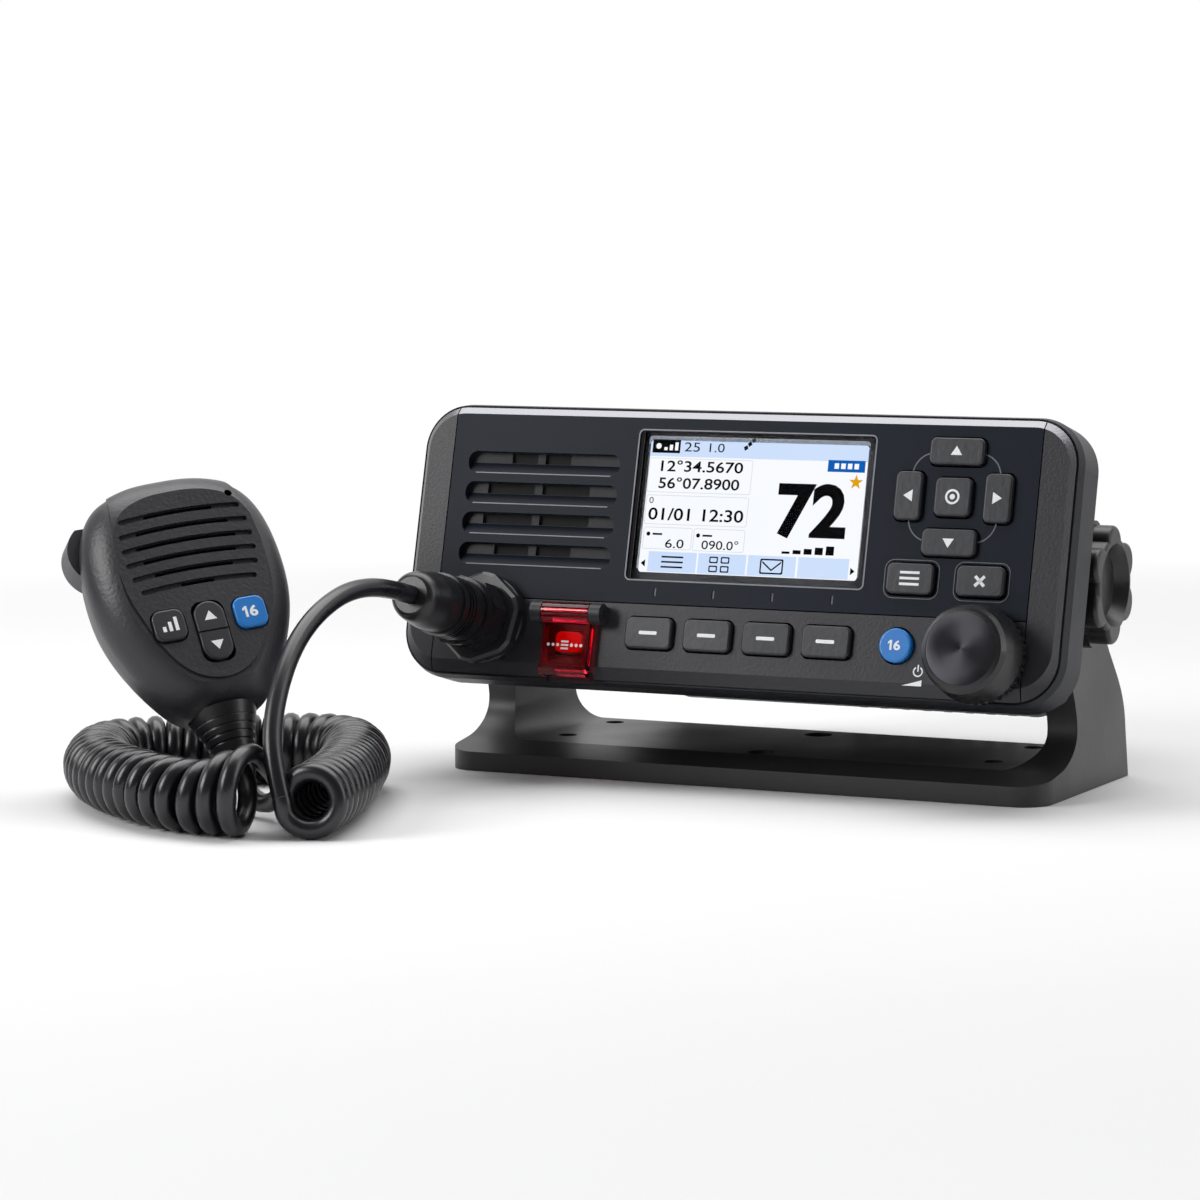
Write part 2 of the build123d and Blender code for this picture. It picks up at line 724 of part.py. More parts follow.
def slot_tool(v):
    """A louvre: a rounded slot whose lower half ramps down from the surface."""
    low = v - SLOT_HEIGHT / 2
    top = v + SLOT_HEIGHT / 2
    outline = FACE.offset(-PANEL_THICK - 1) * Pos(SLOT_X, v) * RectangleRounded(
        SLOT_LENGTH, SLOT_HEIGHT, SLOT_CORNER
    )
    wedge = SIDE.offset(SLOT_X - SLOT_LENGTH / 2) * make_face(
        Polyline(
            (low, 1.0),
            (low, 0.0),
            (top - SLOT_OPEN, -PANEL_THICK),
            (top - SLOT_OPEN, -PANEL_THICK - 1),
            (top, -PANEL_THICK - 1),
            (top, 1.0),
            close=True,
        )
    )
    return extrude(outline, amount=PANEL_THICK + 2) & extrude(wedge, amount=SLOT_LENGTH)


def make_upper_panel():
    slots = [slot_tool(v) for v in SLOT_ROWS]
    with BuildPart() as panel:
        face_blank()
        keep(-SEAM_X + SEAM / 2, SEAM_X - SEAM / 2, MID_SEAM_V + SEAM / 2, FACE_HEIGHT)
        slab(
            FACE,
            WINDOW_WIDTH + 2 * WINDOW_FIT,
            WINDOW_HEIGHT + 2 * WINDOW_FIT,
            WINDOW_CORNER + WINDOW_FIT,
            -PANEL_THICK - 1,
            1,
            (SCREEN_X, SCREEN_V),
            Mode.SUBTRACT,
        )
        cut_keys(PANEL_KEYS, -PANEL_THICK - 1, 1)
        for slot in slots:
            add(slot, mode=Mode.SUBTRACT)
        for x in SOFT_COLUMNS:
            bar(
                FACE,
                TICK_WIDTH,
                TICK_LENGTH,
                -TICK_DEPTH,
                1,
                (x, SOFT_V + TICK_RISE),
                Mode.SUBTRACT,
            )
        disc(
            FACE,
            SOCKET_BODY_RADIUS + SOCKET_HOLE_FIT,
            -PANEL_THICK - 1,
            1,
            (SOCKET_X, SOCKET_V),
            Mode.SUBTRACT,
        )
    save(panel, "upper_panel")


def finger_notch():
    """Cut for a fingertip under the lip of the distress cover, in the current part."""
    width = HINGE_LENGTH - 2 * HINGE_CAP
    bar(
        FACE,
        width,
        HOUSING_HEIGHT,
        -FINGER_NOTCH_DEPTH - BEVEL_DEPTH,
        1,
        (DISTRESS_X, FLAT_BOTTOM - 1.2 - HOUSING_HEIGHT / 2),
        Mode.SUBTRACT,
    )


def make_lower_panel():
    cap_x = HINGE_LENGTH / 2 - HINGE_CAP / 2
    with BuildPart() as panel:
        face_blank()
        keep(-SEAM_X + SEAM / 2, SEAM_X - SEAM / 2, -FACE_HEIGHT, MID_SEAM_V - SEAM / 2)
        cut_keys(SOFT_KEYS, -PANEL_THICK - 1, 1)
        disc(FACE, ROUND_KEY_RADIUS + KEY_GAP, -PANEL_THICK - 1, 1, (ROUND_KEY_X, SOFT_V), Mode.SUBTRACT)
        disc(
            FACE,
            BUSHING_RADIUS + BUSHING_FIT,
            -PANEL_THICK - 1,
            1,
            (DIAL_X, DIAL_V),
            Mode.SUBTRACT,
        )
        disc(
            FACE,
            SOCKET_BODY_RADIUS + SOCKET_HOLE_FIT,
            -PANEL_THICK - 1,
            1,
            (SOCKET_X, SOCKET_V),
            Mode.SUBTRACT,
        )
        slab(
            FACE,
            DISTRESS_KEY + 2 * KEY_GAP,
            DISTRESS_KEY_HEIGHT + 2 * KEY_GAP,
            KEY_CORNER,
            -PANEL_THICK - 1,
            1,
            (DISTRESS_X, DISTRESS_KEY_V),
            Mode.SUBTRACT,
        )
        # hinge caps on both sides of the distress cover
        for side in (-1, 1):
            start = DISTRESS_X + side * cap_x - HINGE_CAP / 2
            with BuildSketch(SIDE.offset(start)):
                with Locations((DISTRESS_HINGE_V, DISTRESS_HINGE_H)):
                    Circle(HINGE_RADIUS)
                with Locations((DISTRESS_HINGE_V, DISTRESS_HINGE_H / 2 - PANEL_THICK / 4)):
                    Rectangle(1.6 * HINGE_RADIUS, DISTRESS_HINGE_H + PANEL_THICK / 2)
                with Locations((DISTRESS_HINGE_V, DISTRESS_HINGE_H)):
                    Circle(HINGE_PIN_RADIUS, mode=Mode.SUBTRACT)
            extrude(amount=HINGE_CAP)
        finger_notch()
    save(panel, "lower_panel")


def make_cheek(side, name):
    with BuildPart() as cheek:
        face_blank()
        inner = SEAM_X + SEAM / 2
        if side > 0:
            keep(inner, FACE_WIDTH, -FACE_HEIGHT, FACE_HEIGHT)
        else:
            keep(-FACE_WIDTH, -inner, -FACE_HEIGHT, FACE_HEIGHT)
        # locating tongue that drops into the pocket of the wing
        bar(
            FACE,
            WING_POCKET_WIDTH - 2 * WINDOW_FIT,
            WING_POCKET_HEIGHT - 2 * WINDOW_FIT,
            -PANEL_THICK - FLOOR_THICK,
            -PANEL_THICK,
            (side * (SEAM_X + CHEEK_WIDTH / 2), 0),
        )
    save(cheek, name)


def make_front_housing():
    with BuildPart() as housing:
        corner = FACE_CORNER + LIP
        chamfer_low = -LIP_SETBACK - LIP_CHAMFER_DEPTH
        slab(FACE, HOUSING_WIDTH, HOUSING_HEIGHT, corner, -HOUSING_BACK, chamfer_low)
        with BuildSketch(FACE.offset(chamfer_low)) as wide:
            RectangleRounded(HOUSING_WIDTH, HOUSING_HEIGHT, corner)
        with BuildSketch(FACE.offset(-LIP_SETBACK)) as narrow:
            RectangleRounded(
                HOUSING_WIDTH - 2 * LIP_CHAMFER,
                HOUSING_HEIGHT - 2 * LIP_CHAMFER,
                corner - LIP_CHAMFER,
            )
        loft([wide.sketch.face(), narrow.sketch.face()], ruled=True)
        # tray for the panels and cheeks
        slab(
            FACE,
            FACE_WIDTH + 2 * GROOVE,
            FACE_HEIGHT + 2 * GROOVE,
            FACE_CORNER + GROOVE,
            FLOOR_FRONT,
            1,
            mode=Mode.SUBTRACT,
        )
        # cavity behind the floor
        slab(
            FACE,
            CAVITY_WIDTH,
            CAVITY_HEIGHT,
            3.0,
            -HOUSING_BACK - 1,
            FLOOR_BACK,
            mode=Mode.SUBTRACT,
        )
        slab(
            FACE,
            KEY_POCKET_WIDTH,
            CAVITY_HEIGHT,
            3.0,
            -KEY_POCKET_BACK,
            FLOOR_BACK,
            mode=Mode.SUBTRACT,
        )
        for side in (-1, 1):
            bar(
                FACE,
                WING_POCKET_WIDTH,
                WING_POCKET_HEIGHT,
                -HOUSING_BACK + WING_FLOOR,
                1,
                (side * (SEAM_X + CHEEK_WIDTH / 2), 0),
                Mode.SUBTRACT,
            )
            for v in (-SCREW_V, SCREW_V):
                disc(
                    FACE,
                    SCREW_RADIUS,
                    -HOUSING_BACK - 1,
                    -HOUSING_BACK - GASKET_THICK - FLANGE_THICK + SCREW_LENGTH + 0.3,
                    (side * SCREW_X, v),
                    Mode.SUBTRACT,
                )
        # openings in the floor
        low = FLOOR_BACK - 1
        slab(
            FACE,
            ACTIVE_WIDTH + 2 * WINDOW_FIT,
            ACTIVE_HEIGHT + 2 * WINDOW_FIT,
            1.0,
            low,
            1,
            (SCREEN_X, SCREEN_V),
            Mode.SUBTRACT,
        )
        cut_keys(PANEL_KEYS, low, 1)
        cut_keys(SOFT_KEYS, low, 1)
        cut_keys(
            [("distress", DISTRESS_X, DISTRESS_KEY_V, DISTRESS_KEY, DISTRESS_KEY_HEIGHT)], low, 1
        )
        disc(FACE, ROUND_KEY_RADIUS + KEY_GAP, low, 1, (ROUND_KEY_X, SOFT_V), Mode.SUBTRACT)
        disc(FACE, BUSHING_RADIUS + BUSHING_FIT, low, 1, (DIAL_X, DIAL_V), Mode.SUBTRACT)
        disc(
            FACE,
            SOCKET_BODY_RADIUS + SOCKET_HOLE_FIT,
            low,
            1,
            (SOCKET_X, SOCKET_V),
            Mode.SUBTRACT,
        )
        # sound openings: the open half of each louvre, inside the loudspeaker's circle
        for v in SLOT_ROWS:
            open_v = v + SLOT_HEIGHT / 2 - SLOT_OPEN / 2
            half = sqrt(max(GRILLE_RADIUS**2 - (open_v - SPEAKER_V) ** 2, 4.0))
            wing = half - GRILLE_RIB / 2
            for side in (-1, 1):
                bar(
                    FACE,
                    wing,
                    SLOT_OPEN - 0.2,
                    low,
                    1,
                    (SPEAKER_X + side * (GRILLE_RIB / 2 + wing / 2), open_v),
                    Mode.SUBTRACT,
                )
        finger_notch()
        # short seams in the lip, in line with the seams of the face
        for side in (-1, 1):
            for v_side in (-1, 1):
                bar(
                    FACE,
                    SEAM,
                    1.0,
                    -HOUSING_BACK + 1,
                    1,
                    (side * SEAM_X, v_side * (HOUSING_HEIGHT / 2 + 0.2)),
                    Mode.SUBTRACT,
                )
    save(housing, "front_housing")


def make_front_gasket():
    with BuildPart() as gasket:
        slab(FACE, CAVITY_WIDTH + 2.0, FLANGE_HEIGHT, 3.0, FLANGE_FRONT, -HOUSING_BACK)
        slab(
            FACE,
            CAVITY_WIDTH - 2.0,
            FLANGE_HEIGHT - 4.0,
            3.0,
            FLANGE_FRONT - 1,
            -HOUSING_BACK + 1,
            mode=Mode.SUBTRACT,
        )
    save(gasket, "front_gasket")


# ================================================================ screen
def make_display_window():
    with BuildPart() as window:
        slab(
            FACE,
            WINDOW_WIDTH,
            WINDOW_HEIGHT,
            WINDOW_CORNER,
            FLOOR_FRONT,
            -WINDOW_RECESS,
            (SCREEN_X, SCREEN_V),
        )
    save(window, "display_window")


def make_lcd_module():
    at = (SCREEN_X, SCREEN_V)
    width = ACTIVE_WIDTH + 2 * LCD_BORDER
    height = ACTIVE_HEIGHT + 2 * LCD_BORDER
    with BuildPart() as lcd:
        slab(FACE, ACTIVE_WIDTH, ACTIVE_HEIGHT, 0.8, FLOOR_BACK, FLOOR_FRONT - 0.05, at)
        slab(FACE, width, height, 1.0, FLOOR_BACK - LCD_THICK, FLOOR_BACK, at)
    save(lcd, "lcd_module")


# ================================================================ keys and boards
def key_body(x, v, width, height, proud):
    """A key cap with a flange that the housing's floor holds back, in the current part."""
    slab(FACE, width, height, KEY_CORNER, KEY_FLANGE_TOP, proud, (x, v))
    slab(
        FACE,
        width + 2 * KEY_FLANGE,
        height + 2 * KEY_FLANGE,
        KEY_CORNER,
        KEY_FLANGE_LOW,
        KEY_FLANGE_TOP,
        (x, v),
    )


def make_key(name, x, v, width, height):
    with BuildPart() as key:
        key_body(x, v, width, height, KEY_PROUD)
        top = key.faces().sort_by(Axis(FACE.origin, FACE.z_dir))[-1]
        fillet(top.edges(), KEY_EDGE)
    save(key, name)


def make_round_key():
    at = (ROUND_KEY_X, SOFT_V)
    with BuildPart() as key:
        disc(FACE, ROUND_KEY_RADIUS, KEY_FLANGE_TOP, KEY_PROUD, at)
        disc(FACE, ROUND_KEY_RADIUS + KEY_FLANGE, KEY_FLANGE_LOW, KEY_FLANGE_TOP, at)
        top = key.faces().sort_by(Axis(FACE.origin, FACE.z_dir))[-1]
        fillet(top.edges(), KEY_EDGE)
    save(key, "key_sixteen")


def make_key_mat():
    """Silicone sheet under the keys: an arm under the soft keys, a block under the pad."""
    soft_right = ROUND_KEY_X + ROUND_KEY_RADIUS + KEY_FLANGE
    soft_left = SOFT_COLUMNS[0] - SOFT_KEY / 2 - KEY_FLANGE
    soft_low = SOFT_V - SOFT_KEY_HEIGHT / 2 - KEY_FLANGE
    soft_high = SOFT_V + SOFT_KEY_HEIGHT / 2 + KEY_FLANGE
    pad_left = PAD_X - PAD_STEP_X - TALL_KEY_WIDTH / 2 - KEY_FLANGE
    pad_right = PAD_X + MENU_SPREAD / 2 + MENU_KEY / 2 + KEY_FLANGE
    pad_high = PAD_V + PAD_STEP_V + LONG_KEY_HEIGHT / 2 + KEY_FLANGE
    pad_right = min(pad_right, CAVITY_WIDTH / 2 - KEY_GAP)
    pad_low = MENU_V - MENU_KEY_HEIGHT / 2 - KEY_FLANGE
    with BuildPart() as mat:
        profile(
            FACE,
            [
                (soft_left, soft_low),
                (soft_right, soft_low),
                (soft_right, pad_low),
                (pad_right, pad_low),
                (pad_right, pad_high),
                (pad_left, pad_high),
                (pad_left, soft_high),
                (soft_left, soft_high),
            ],
            MAT_LOW,
            MAT_TOP,
        )
        spots = [(x, v) for _, x, v, _, _ in PANEL_KEYS + SOFT_KEYS]
        spots.append((ROUND_KEY_X, SOFT_V))
        for spot in spots:
            disc(FACE, PIP_RADIUS, BOARD_TOP, MAT_LOW, spot)
    save(mat, "key_mat")


def make_front_board():
    left = SPEAKER_X + SPEAKER_RADIUS + 2.0
    right = CAVITY_WIDTH / 2 - 1.0
    top = CAVITY_HEIGHT / 2 - 1.5
    bottom = DIAL_V + ENCODER_SIZE / 2
    with BuildPart() as board:
        wing = DISTRESS_X - DISTRESS_KEY
        wing_top = SPEAKER_V - SPEAKER_RADIUS - 8.0
        profile(
            FACE,
            [
                (wing, -top),
                (right, -top),
                (right, top),
                (left, top),
                (left, wing_top),
                (wing, wing_top),
            ],
            BOARD_LOW,
            BOARD_TOP,
        )
        bar(FACE, 5.0, 4.0, BOARD_TOP, MAT_TOP, (DISTRESS_X, DISTRESS_KEY_V))
        # the encoder's own foot stands on a tab of the board
        slab(
            FACE,
            ENCODER_SIZE,
            ENCODER_SIZE,
            0.8,
            BOARD_LOW,
            BOARD_TOP,
            (DIAL_X, DIAL_V),
        )
        # controller and connector
        bar(FACE, 14.0, 14.0, BOARD_LOW - 1.4, BOARD_LOW, (SCREEN_X, 0.0))
        bar(FACE, 22.0, 5.0, BOARD_LOW - 2.2, BOARD_LOW, (SCREEN_X, bottom))
    save(board, "front_board")


# ================================================================ dial
def make_encoder():
    at = (DIAL_X, DIAL_V)
    with BuildPart() as encoder:
        slab(FACE, ENCODER_SIZE, ENCODER_SIZE, 0.8, BOARD_TOP, FLOOR_BACK, at)
        disc(FACE, BUSHING_RADIUS, FLOOR_BACK, -0.4, at)
        disc(FACE, SHAFT_RADIUS + SHAFT_FIT, plunger_low() - DIAL_PUSH - 0.2, 1, at, Mode.SUBTRACT)
    save(encoder, "encoder")


def plunger_low():
    """Depth of the underside of the push switch's plunger."""
    return FLOOR_BACK - 2.4


def make_encoder_plunger():
    with BuildPart() as plunger:
        disc(
            FACE,
            SHAFT_RADIUS - 0.3,
            plunger_low(),
            plunger_low() + PLUNGER_THICK,
            (DIAL_X, DIAL_V),
        )
    save(plunger, "encoder_plunger")


def make_dial_shaft():
    with BuildPart() as shaft:
        disc(
            FACE,
            SHAFT_RADIUS,
            plunger_low() + PLUNGER_THICK + PLUNGER_GAP,
            DIAL_GAP + SHAFT_IN_KNOB,
            (DIAL_X, DIAL_V),
        )
    save(shaft, "dial_shaft")


def make_dial_knob():
    axis_plane = Plane(origin=face_point(DIAL_X, DIAL_V, 0.0), x_dir=(1, 0, 0), z_dir=FACE_UP)
    with BuildPart() as knob:
        # half section as (radius, -height): local y of this plane points into the face
        with BuildSketch(axis_plane):
            with BuildLine():
                Polyline(
                    (SHAFT_RADIUS, -DIAL_GAP),
                    (DIAL_RADIUS, -DIAL_GAP),
                    (DIAL_RADIUS, -DIAL_SKIRT / 2),
                    (DIAL_RADIUS - 0.6, -DIAL_SKIRT),
                    (DIAL_RIM_RADIUS, -DIAL_HEIGHT + 1.8),
                    (DIAL_RIM_RADIUS - 0.8, -DIAL_HEIGHT + 0.3),
                    (DIAL_FACE_RADIUS, -DIAL_HEIGHT),
                    (0, -DIAL_HEIGHT),
                    (0, -DIAL_GAP - SHAFT_IN_KNOB),
                    (SHAFT_RADIUS, -DIAL_GAP - SHAFT_IN_KNOB),
                    close=True,
                )
            make_face()
        revolve(axis=Axis(face_point(DIAL_X, DIAL_V, 0.0), FACE_NORMAL))
        # knurled skirt
        with BuildSketch(FACE.offset(DIAL_GAP)):
            with Locations((DIAL_X, DIAL_V)):
                with PolarLocations(DIAL_RADIUS, DIAL_RIBS):
                    Circle(DIAL_RIB_RADIUS)
        extrude(amount=DIAL_SKIRT / 2 - DIAL_GAP, mode=Mode.SUBTRACT)
    save(knob, "dial_knob")


# ================================================================ loudspeaker
def make_speaker():
    at = (SPEAKER_X, SPEAKER_V)
    with BuildPart() as speaker:
        disc(FACE, SPEAKER_RADIUS, FLOOR_BACK - SPEAKER_RIM, FLOOR_BACK, at)
        disc(FACE, SPEAKER_RADIUS - 2.0, FLOOR_BACK - 1.2, FLOOR_BACK, at, Mode.SUBTRACT)
        with BuildSketch(FACE.offset(FLOOR_BACK - SPEAKER_RIM)):
            with Locations(at):
                Circle(SPEAKER_RADIUS - 1.0)
        extrude(amount=-(SPEAKER_DEPTH - SPEAKER_RIM) / 2, taper=35)
        disc(FACE, MAGNET_RADIUS, FLOOR_BACK - SPEAKER_DEPTH, FLOOR_BACK - SPEAKER_RIM, at)
    save(speaker, "speaker")


# ================================================================ distress key and cover
def make_distress_cover():
    width = HINGE_LENGTH - 2 * HINGE_CAP - 2 * HINGE_SIDE_GAP
    start = DISTRESS_X - width / 2
    root_v = DISTRESS_HINGE_V - HINGE_RADIUS / 2
    plate_top = COVER_PLATE_LOW + COVER_PLATE_THICK
    with BuildPart() as cover:
        with BuildSketch(SIDE.offset(start)):
            with Locations((DISTRESS_HINGE_V, DISTRESS_HINGE_H)):
                Circle(HINGE_RADIUS)
            with BuildLine():
                Polyline(
                    (root_v, COVER_PLATE_LOW),
                    (root_v, plate_top + 0.9),
                    (root_v - 1.6, plate_top),
                    (COVER_PLATE_END, plate_top),
                    (COVER_PLATE_END - 0.4, COVER_LIP_TOP),
                    (COVER_PLATE_END - 1.3, COVER_LIP_TOP),
                    (COVER_LIP_END, COVER_LIP_TOP - 1.5),
                    (COVER_LIP_END, COVER_LIP_LOW),
                    (COVER_PLATE_END + 0.4, COVER_LIP_LOW),
                    (COVER_PLATE_END + 0.4, COVER_PLATE_LOW),
                    close=True,
                )
            make_face()
            with Locations((DISTRESS_HINGE_V, DISTRESS_HINGE_H)):
                Circle(HINGE_PIN_RADIUS + HINGE_PIN_FIT, mode=Mode.SUBTRACT)
        extrude(amount=width)
        # side walls of the cover
        for side in (-1, 1):
            bar(
                FACE,
                COVER_WALL,
                root_v - COVER_PLATE_END - HINGE_RADIUS,
                COVER_LIP_LOW,
                COVER_PLATE_LOW,
                (
                    DISTRESS_X + side * (width - COVER_WALL) / 2,
                    (root_v + COVER_PLATE_END - HINGE_RADIUS) / 2 + 0.4,
                ),
            )
    save(cover, "distress_cover")


def make_distress_pin():
    with BuildPart() as pin:
        with BuildSketch(SIDE.offset(DISTRESS_X - HINGE_LENGTH / 2)):
            with Locations((DISTRESS_HINGE_V, DISTRESS_HINGE_H)):
                Circle(HINGE_PIN_RADIUS)
        extrude(amount=HINGE_LENGTH)
    save(pin, "distress_pin")


def make_distress_button():
    with BuildPart() as button:
        key_body(DISTRESS_X, DISTRESS_KEY_V, DISTRESS_KEY, DISTRESS_KEY_HEIGHT, DISTRESS_KEY_PROUD)
        top = button.faces().sort_by(Axis(FACE.origin, FACE.z_dir))[-1]
        fillet(top.edges(), KEY_EDGE)
    save(button, "distress_button")


# ================================================================ microphone socket and plug
def make_mic_socket():
    at = (SOCKET_X, SOCKET_V)
    with BuildPart() as socket:
        disc(FACE, SOCKET_FLANGE_RADIUS, 0, SOCKET_FLANGE_THICK, at)
        rim = socket.faces().sort_by(Axis(FACE.origin, FACE.z_dir))[-1]
        fillet(rim.edges(), 0.8)
        with BuildSketch(FACE.offset(SOCKET_FLANGE_THICK)):
            with Locations(at):
                RegularPolygon(SOCKET_HEX / 2, 6, major_radius=False, rotation=20)
                Circle(SOCKET_HEX_ROUND, mode=Mode.INTERSECT)
        extrude(amount=SOCKET_HEX_THICK)
        hexagon = socket.faces().sort_by(Axis(FACE.origin, FACE.z_dir))[-1]
        chamfer(hexagon.edges(), 0.8)
        disc(FACE, SPIGOT_RADIUS, HEX_TOP, SPIGOT_TOP, at)
        disc(FACE, SOCKET_BODY_RADIUS, -SOCKET_BODY_DEPTH, 0, at)
        disc(FACE, SOCKET_BORE, HEX_TOP - PLUG_CORE_IN, SPIGOT_TOP + 1, at, Mode.SUBTRACT)
    save(socket, "mic_socket")


def make_plug_nut():
    at = (SOCKET_X, SOCKET_V)
    with BuildPart() as nut:
        disc(FACE, NUT_RADIUS - 0.5, NUT_LOW, NUT_TOP, at)
        with BuildSketch(FACE.offset(NUT_LOW + 1.0)):
            with Locations(at):
                RegularPolygon(NUT_RADIUS + 0.3, NUT_SIDES, rotation=10)
        extrude(amount=NUT_LENGTH - 3.6)
        disc(FACE, SPIGOT_RADIUS + NUT_FIT, NUT_LOW - 1, SPIGOT_TOP + NUT_GAP, at, Mode.SUBTRACT)
        disc(FACE, PLUG_CORE_RADIUS + NUT_FIT, NUT_LOW, NUT_TOP + 1, at, Mode.SUBTRACT)
    save(nut, "plug_nut")


def make_plug_body():
    at = (SOCKET_X, SOCKET_V)
    grooves = (2.4, 4.0, 5.6)
    with BuildPart() as plug:
        disc(FACE, PLUG_CORE_RADIUS, HEX_TOP - PLUG_CORE_IN, BARREL_LOW, at)
        disc(FACE, BARREL_RADIUS, BARREL_LOW, BARREL_TOP, at)
        disc(FACE, BOOT_GRIP_RADIUS, BARREL_TOP, BARREL_TOP + BOOT_GRIP, at)
        for step in grooves:
            with BuildSketch(FACE.offset(BARREL_TOP - step)):
                with Locations(at):
                    Circle(BARREL_RADIUS + 1)
                    Circle(BARREL_RADIUS - BARREL_GROOVE, mode=Mode.SUBTRACT)
            extrude(amount=-2 * BARREL_GROOVE, mode=Mode.SUBTRACT)
    save(plug, "plug_body")


def make_plug_boot():
    axis_plane = Plane(
        origin=face_point(SOCKET_X, SOCKET_V, 0.0), x_dir=(1, 0, 0), z_dir=FACE_UP
    )
    with BuildPart() as boot:
        with BuildSketch(axis_plane):
            with BuildLine():
                Polyline(
                    (0, -BOOT_END),
                    (0, -BARREL_TOP - BOOT_GRIP),
                    (BOOT_GRIP_RADIUS, -BARREL_TOP - BOOT_GRIP),
                    (BOOT_GRIP_RADIUS, -BARREL_TOP),
                    (BOOT_RADIUS, -BARREL_TOP),
                    (BOOT_RADIUS, -BARREL_TOP - BOOT_GRIP),
                )
                Spline(
                    (BOOT_RADIUS, -BARREL_TOP - BOOT_GRIP),
                    (BOOT_RADIUS - 0.7, -BOOT_END + 4.5),
                    (BOOT_TIP_RADIUS, -BOOT_END),
                    tangents=((0, -1), (-1, -0.35)),
                )
                Line((BOOT_TIP_RADIUS, -BOOT_END), (0, -BOOT_END))
            make_face()
        revolve(axis=Axis(face_point(SOCKET_X, SOCKET_V, 0.0), FACE_NORMAL))
    save(boot, "plug_boot")


# ================================================================ chassis and rear
def make_chassis():
    ear_height = FLANGE_HEIGHT / 2 - EAR_CLEAR
    ear_v = FLANGE_HEIGHT / 2 - ear_height / 2
    rear = -CHASSIS_BACK
    with BuildPart() as chassis:
        slab(FACE, 2 * CHASSIS_HALF, FLANGE_HEIGHT, 3.0, FLANGE_BACK, FLANGE_FRONT)
        for side in (-1, 1):
            slab(FACE, EAR_WIDTH, ear_height, 3.0, FLANGE_BACK, FLANGE_FRONT, (0, side * ear_v))
        middle = (0, CHASSIS_MIDDLE)
        # wide between the bracket's arms, narrower behind them
        wide = 2 * CHASSIS_HALF
        narrow = 2 * REAR_HALF
        step = -CHASSIS_STEP
        slab(FACE, wide, CHASSIS_HEIGHT, CHASSIS_CORNER, step, FLANGE_BACK, middle)
        slab(FACE, narrow, CHASSIS_HEIGHT, CHASSIS_CORNER, rear, step + 1, middle)
        # vertical cooling fins behind, and low ones along the top
        for index in range(FIN_COUNT):
            x = FIN_MIDDLE_X + (index - (FIN_COUNT - 1) / 2) * FIN_PITCH
            bar(
                FACE,
                FIN_THICK,
                CHASSIS_HEIGHT - 2.0,
                rear - FIN_LENGTH,
                rear,
                (x, CHASSIS_MIDDLE),
            )
        for index in range(TOP_FIN_COUNT):
            x = (index - (TOP_FIN_COUNT - 1) / 2) * TOP_FIN_PITCH
            bar(
                FACE,
                FIN_THICK,
                TOP_FIN_HEIGHT + CHASSIS_WALL,
                rear,
                FLANGE_BACK,
                (x, CHASSIS_TOP + (TOP_FIN_HEIGHT - CHASSIS_WALL) / 2),
            )
        # hollow, open at the front
        inner_step = step + CHASSIS_WALL
        for width, low, high in (
            (wide, inner_step, FLANGE_FRONT + 1),
            (narrow, rear + CHASSIS_WALL, inner_step + 1),
        ):
            slab(
                FACE,
                width - 2 * CHASSIS_WALL,
                CHASSIS_HEIGHT - 2 * CHASSIS_WALL,
                CHASSIS_CORNER - CHASSIS_WALL,
                low,
                high,
                middle,
                Mode.SUBTRACT,
            )
        # threaded bosses for the clamp bolts
        for side in (-1, 1):
            start = min(side * CHASSIS_HALF, side * (CHASSIS_HALF - PIVOT_BOSS_LENGTH))
            disc(Plane.YZ, PIVOT_BOSS_RADIUS, start, start + PIVOT_BOSS_LENGTH, (PIVOT_Y, PIVOT_Z))
            hole_start = min(side * (CHASSIS_HALF + 1), side * (CHASSIS_HALF - BOLT_REACH - 1.0))
            disc(
                Plane.YZ,
                BOLT_RADIUS + BOLT_CLEAR,
                hole_start,
                hole_start + BOLT_REACH + 2.0,
                (PIVOT_Y, PIVOT_Z),
                Mode.SUBTRACT,
            )
            for v in (-SCREW_V, SCREW_V):
                disc(
                    FACE,
                    SCREW_RADIUS + SCREW_CLEAR,
                    FLANGE_BACK - 1,
                    FLANGE_FRONT + 1,
                    (side * SCREW_X, v),
                    Mode.SUBTRACT,
                )
        # posts for the main board
        floor_v = CHASSIS_BOTTOM + CHASSIS_WALL
        for x in (-POST_X, POST_X):
            for h in board_posts():
                post = Plane(origin=face_point(x, floor_v, h), x_dir=(1, 0, 0), z_dir=FACE_UP)
                disc(post, POST_RADIUS, -CHASSIS_WALL / 2, POST_HEIGHT)
        # holes for the rear connectors
        for x, v, radius in (
            (ANTENNA_X, ANTENNA_V, ANTENNA_BORE + 1.8),
            (GLAND_X, GLAND_V, GLAND_RADIUS - 1.5),
            (DATA_X, DATA_V, DATA_RADIUS - 1.5),
        ):
            disc(FACE, radius + REAR_FIT, rear - 1, rear + CHASSIS_WALL + 1, (x, v), Mode.SUBTRACT)
    save(chassis, "chassis")


def board_posts():
    """Depths of the two rows of posts under the main board."""
    middle = (CHASSIS_WALL - CHASSIS_BACK + FLANGE_FRONT) / 2
    return (middle - BOARD_LENGTH / 2 + POST_RADIUS, middle + BOARD_LENGTH / 2 - POST_RADIUS)


